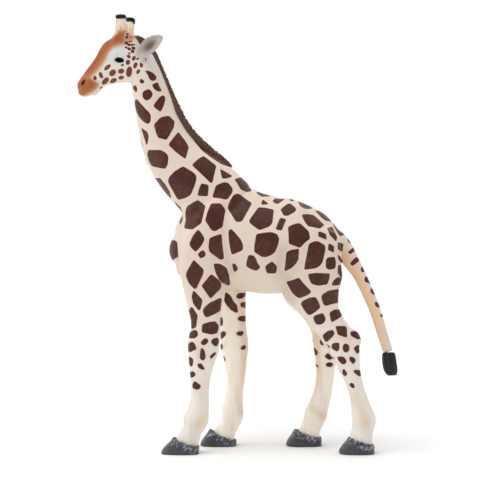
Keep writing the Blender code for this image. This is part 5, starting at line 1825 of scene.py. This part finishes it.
class GIRAFFE_OT_skin(Operator):
    """Make the painted skin of head, neck, trunk, tail, legs and ears"""

    bl_idname = "giraffe.skin"
    bl_label = "Painted Skin"

    def execute(self, context):
        coat = context.scene.giraffe_coat
        obj = body_shape(coat.grain)
        whole = Skin(obj.data)
        spots = ((EYE_CORNERS, 4.0), (NOSTRIL, 2.8), *((place, 1.2) for place in MOUTH), (TEMPLE, 5.5))
        refine(obj.data, [(place, radius) for centre, radius in spots
                          for place in on_face(whole, *centre).values()], FACE_GRAIN)
        skin = Skin(obj.data)
        crease_shade = model_body(obj.data, skin)
        skin.reshaped(obj.data)
        eyes = on_face(skin, *EYE_CORNERS)
        for side_name in SIDES:
            EYE_PLACES[side_name] = (eyes[side_name], *face_frame(skin, eyes[side_name]))
        paint_marks(skin)
        sprays = paint_sprays(skin)
        sprays["crease_shade"] = crease_shade
        sprays["lining"] = model_face(obj.data, skin)
        store(obj.data, "mark", np.clip(skin.marks, -2.0, 2.0))
        store(obj.data, "tone", skin.tones)
        for name, values in sprays.items():
            store(obj.data, name, values)
        dress(obj, coat_paint(coat), "coat", *SKIN_NODES)
        return {"FINISHED"}


class GIRAFFE_OT_eyes(Operator):
    """Make the eyeballs; the skin comes first, because its lids say where they sit"""

    bl_idname = "giraffe.eyes"
    bl_label = "Eyes"

    def execute(self, context):
        if not EYE_PLACES:
            raise RuntimeError("make the skin before the eyes")
        make_eyes(context.scene.giraffe_eye, EYE_PLACES)
        return {"FINISHED"}


class GIRAFFE_OT_horns(Operator):
    """Make the ossicones and their dark tips"""

    bl_idname = "giraffe.horns"
    bl_label = "Horns"

    def execute(self, context):
        make_horns(context.scene.giraffe_horn)
        return {"FINISHED"}


class GIRAFFE_OT_mane(Operator):
    """Make the mane's ridge and locks"""

    bl_idname = "giraffe.mane"
    bl_label = "Mane"

    def execute(self, context):
        make_mane(context.scene.giraffe_hair)
        return {"FINISHED"}


class GIRAFFE_OT_tuft(Operator):
    """Make the tail's tuft"""

    bl_idname = "giraffe.tuft"
    bl_label = "Tail Tuft"

    def execute(self, context):
        make_tuft(context.scene.giraffe_hair)
        return {"FINISHED"}


class GIRAFFE_OT_hooves(Operator):
    """Make the four cloven hooves"""

    bl_idname = "giraffe.hooves"
    bl_label = "Hooves"

    def execute(self, context):
        make_hooves(context.scene.giraffe_hoof)
        return {"FINISHED"}


def lamp(name, place, aim, size, power):
    light = bpy.data.lights.new(name, "AREA")
    light.shape = "RECTANGLE"
    light.size, light.size_y = size
    light.energy = power
    obj = new_object(name, light)
    obj.location = place
    obj.rotation_euler = (Vector(aim) - Vector(place)).to_track_quat("-Z", "Y").to_euler()


class GIRAFFE_OT_stage(Operator):
    """Lay the white floor and set the lamps, the room's light and the camera"""

    bl_idname = "giraffe.stage"
    bl_label = "Stage"

    def execute(self, context):
        scene, stage = context.scene, context.scene.giraffe_stage
        bm = bmesh.new()
        bmesh.ops.create_grid(bm, x_segments=1, y_segments=1, size=stage.reach)
        floor = object_from("studio_floor", bm)
        bench = Bench("floor_paint")
        speck = bench.noise(0.4, 2.0)
        spot = bench.node("ShaderNodeTexCoord", output=3)
        away = bench.node("ShaderNodeVectorMath", {"operation": "LENGTH"}, {0: spot}, output=1)
        # Painted light and shade on the floor: it glows only away from the figure, and its paint is 5 %
        # darker near the figure, so that the shadows by the hooves show.
        far = away.eased(0.12, 0.8)
        lit = bench.mix((0.0, 0.0, 0.0), (1.0, 1.0, 1.0), far)
        shade = bench.mix([c * 0.95 for c in stage.floor], stage.floor, far)
        shade = bench.mix(shade, [c * 0.9 for c in stage.floor], speck * 0.1)
        floor.data.materials.append(bench.finish(shade, 0.85, Specular_IOR_Level=0.1,
                                                 Emission_Strength=stage.glow))
        bench.plug(lit, bench.shader.inputs["Emission Color"])
        world = bpy.data.worlds.new("studio_room")
        world.use_nodes = True
        room = Nodes(world.node_tree)
        back = room.tree.nodes["Background"]
        back.inputs["Color"].default_value = (1.0, 1.0, 1.0, 1.0)
        way = room.node("ShaderNodeTexCoord", output="Generated")
        depth = room.node("ShaderNodeSeparateXYZ", {}, {0: way}, output="Y")
        fade = room.node("ShaderNodeMapRange", {"interpolation_type": "SMOOTHSTEP"},
                         {"Value": depth, "From Min": -0.9, "From Max": 0.1,
                          "To Min": stage.front, "To Max": stage.sky})
        # The camera itself sees the room as white.
        seen = room.node("ShaderNodeLightPath", output="Is Camera Ray")
        room.plug(fade.most(seen), back.inputs["Strength"])
        scene.world = world
        middle = (0.0, 0.0, 0.1)
        lamp("overhead_lamp", (-0.28, -0.20, 1.0), middle, (0.6, 0.45), stage.key)
        lamp("left_lamp", (-1.0, -0.35, 0.35), middle, (0.4, 0.6), stage.fill)
        camera = bpy.data.cameras.new("studio_camera")
        camera.lens, camera.sensor_width = 90.0, 36.0
        camera.clip_start, camera.clip_end = 0.01, 50.0
        viewer = new_object("studio_camera", camera)
        viewer.location = (SIGHT - Vector((0.0, 0.0, FLOOR))) * MM
        viewer.rotation_euler = (math.radians(90.0), 0.0, 0.0)
        scene.camera = viewer
        scene.view_settings.view_transform = "Standard"
        return {"FINISHED"}


OPERATORS = (GIRAFFE_OT_skin, GIRAFFE_OT_eyes, GIRAFFE_OT_horns, GIRAFFE_OT_mane, GIRAFFE_OT_tuft,
             GIRAFFE_OT_hooves, GIRAFFE_OT_stage)


class GIRAFFE_PT_panel(Panel):
    """The toy giraffe's settings and the steps that build it."""

    bl_label = "Toy Giraffe"
    bl_space_type = "VIEW_3D"
    bl_region_type = "UI"
    bl_category = "Giraffe"

    def draw(self, context):
        for operator in OPERATORS:
            self.layout.operator(operator.bl_idname)
        for attribute, group in SETTINGS.items():
            column = self.layout.column(align=True)
            column.label(text=group.__doc__)
            for name in group.__annotations__:
                column.prop(getattr(context.scene, attribute), name)


SETTINGS = {
    "giraffe_coat": CoatSettings, "giraffe_hair": HairSettings, "giraffe_horn": HornSettings,
    "giraffe_hoof": HoofSettings, "giraffe_eye": EyeSettings, "giraffe_stage": StageSettings,
}


def register():
    for group in (*SETTINGS.values(), *OPERATORS, GIRAFFE_PT_panel):
        bpy.utils.register_class(group)
    for attribute, group in SETTINGS.items():
        setattr(bpy.types.Scene, attribute, PointerProperty(type=group))


def unregister():
    for attribute in SETTINGS:
        delattr(bpy.types.Scene, attribute)
    for group in reversed((*SETTINGS.values(), *OPERATORS, GIRAFFE_PT_panel)):
        bpy.utils.unregister_class(group)


def main():
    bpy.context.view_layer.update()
    register()
    for operator in OPERATORS:
        family, name = operator.bl_idname.split(".")
        getattr(getattr(bpy.ops, family), name)()


if __name__ == "__main__":
    main()
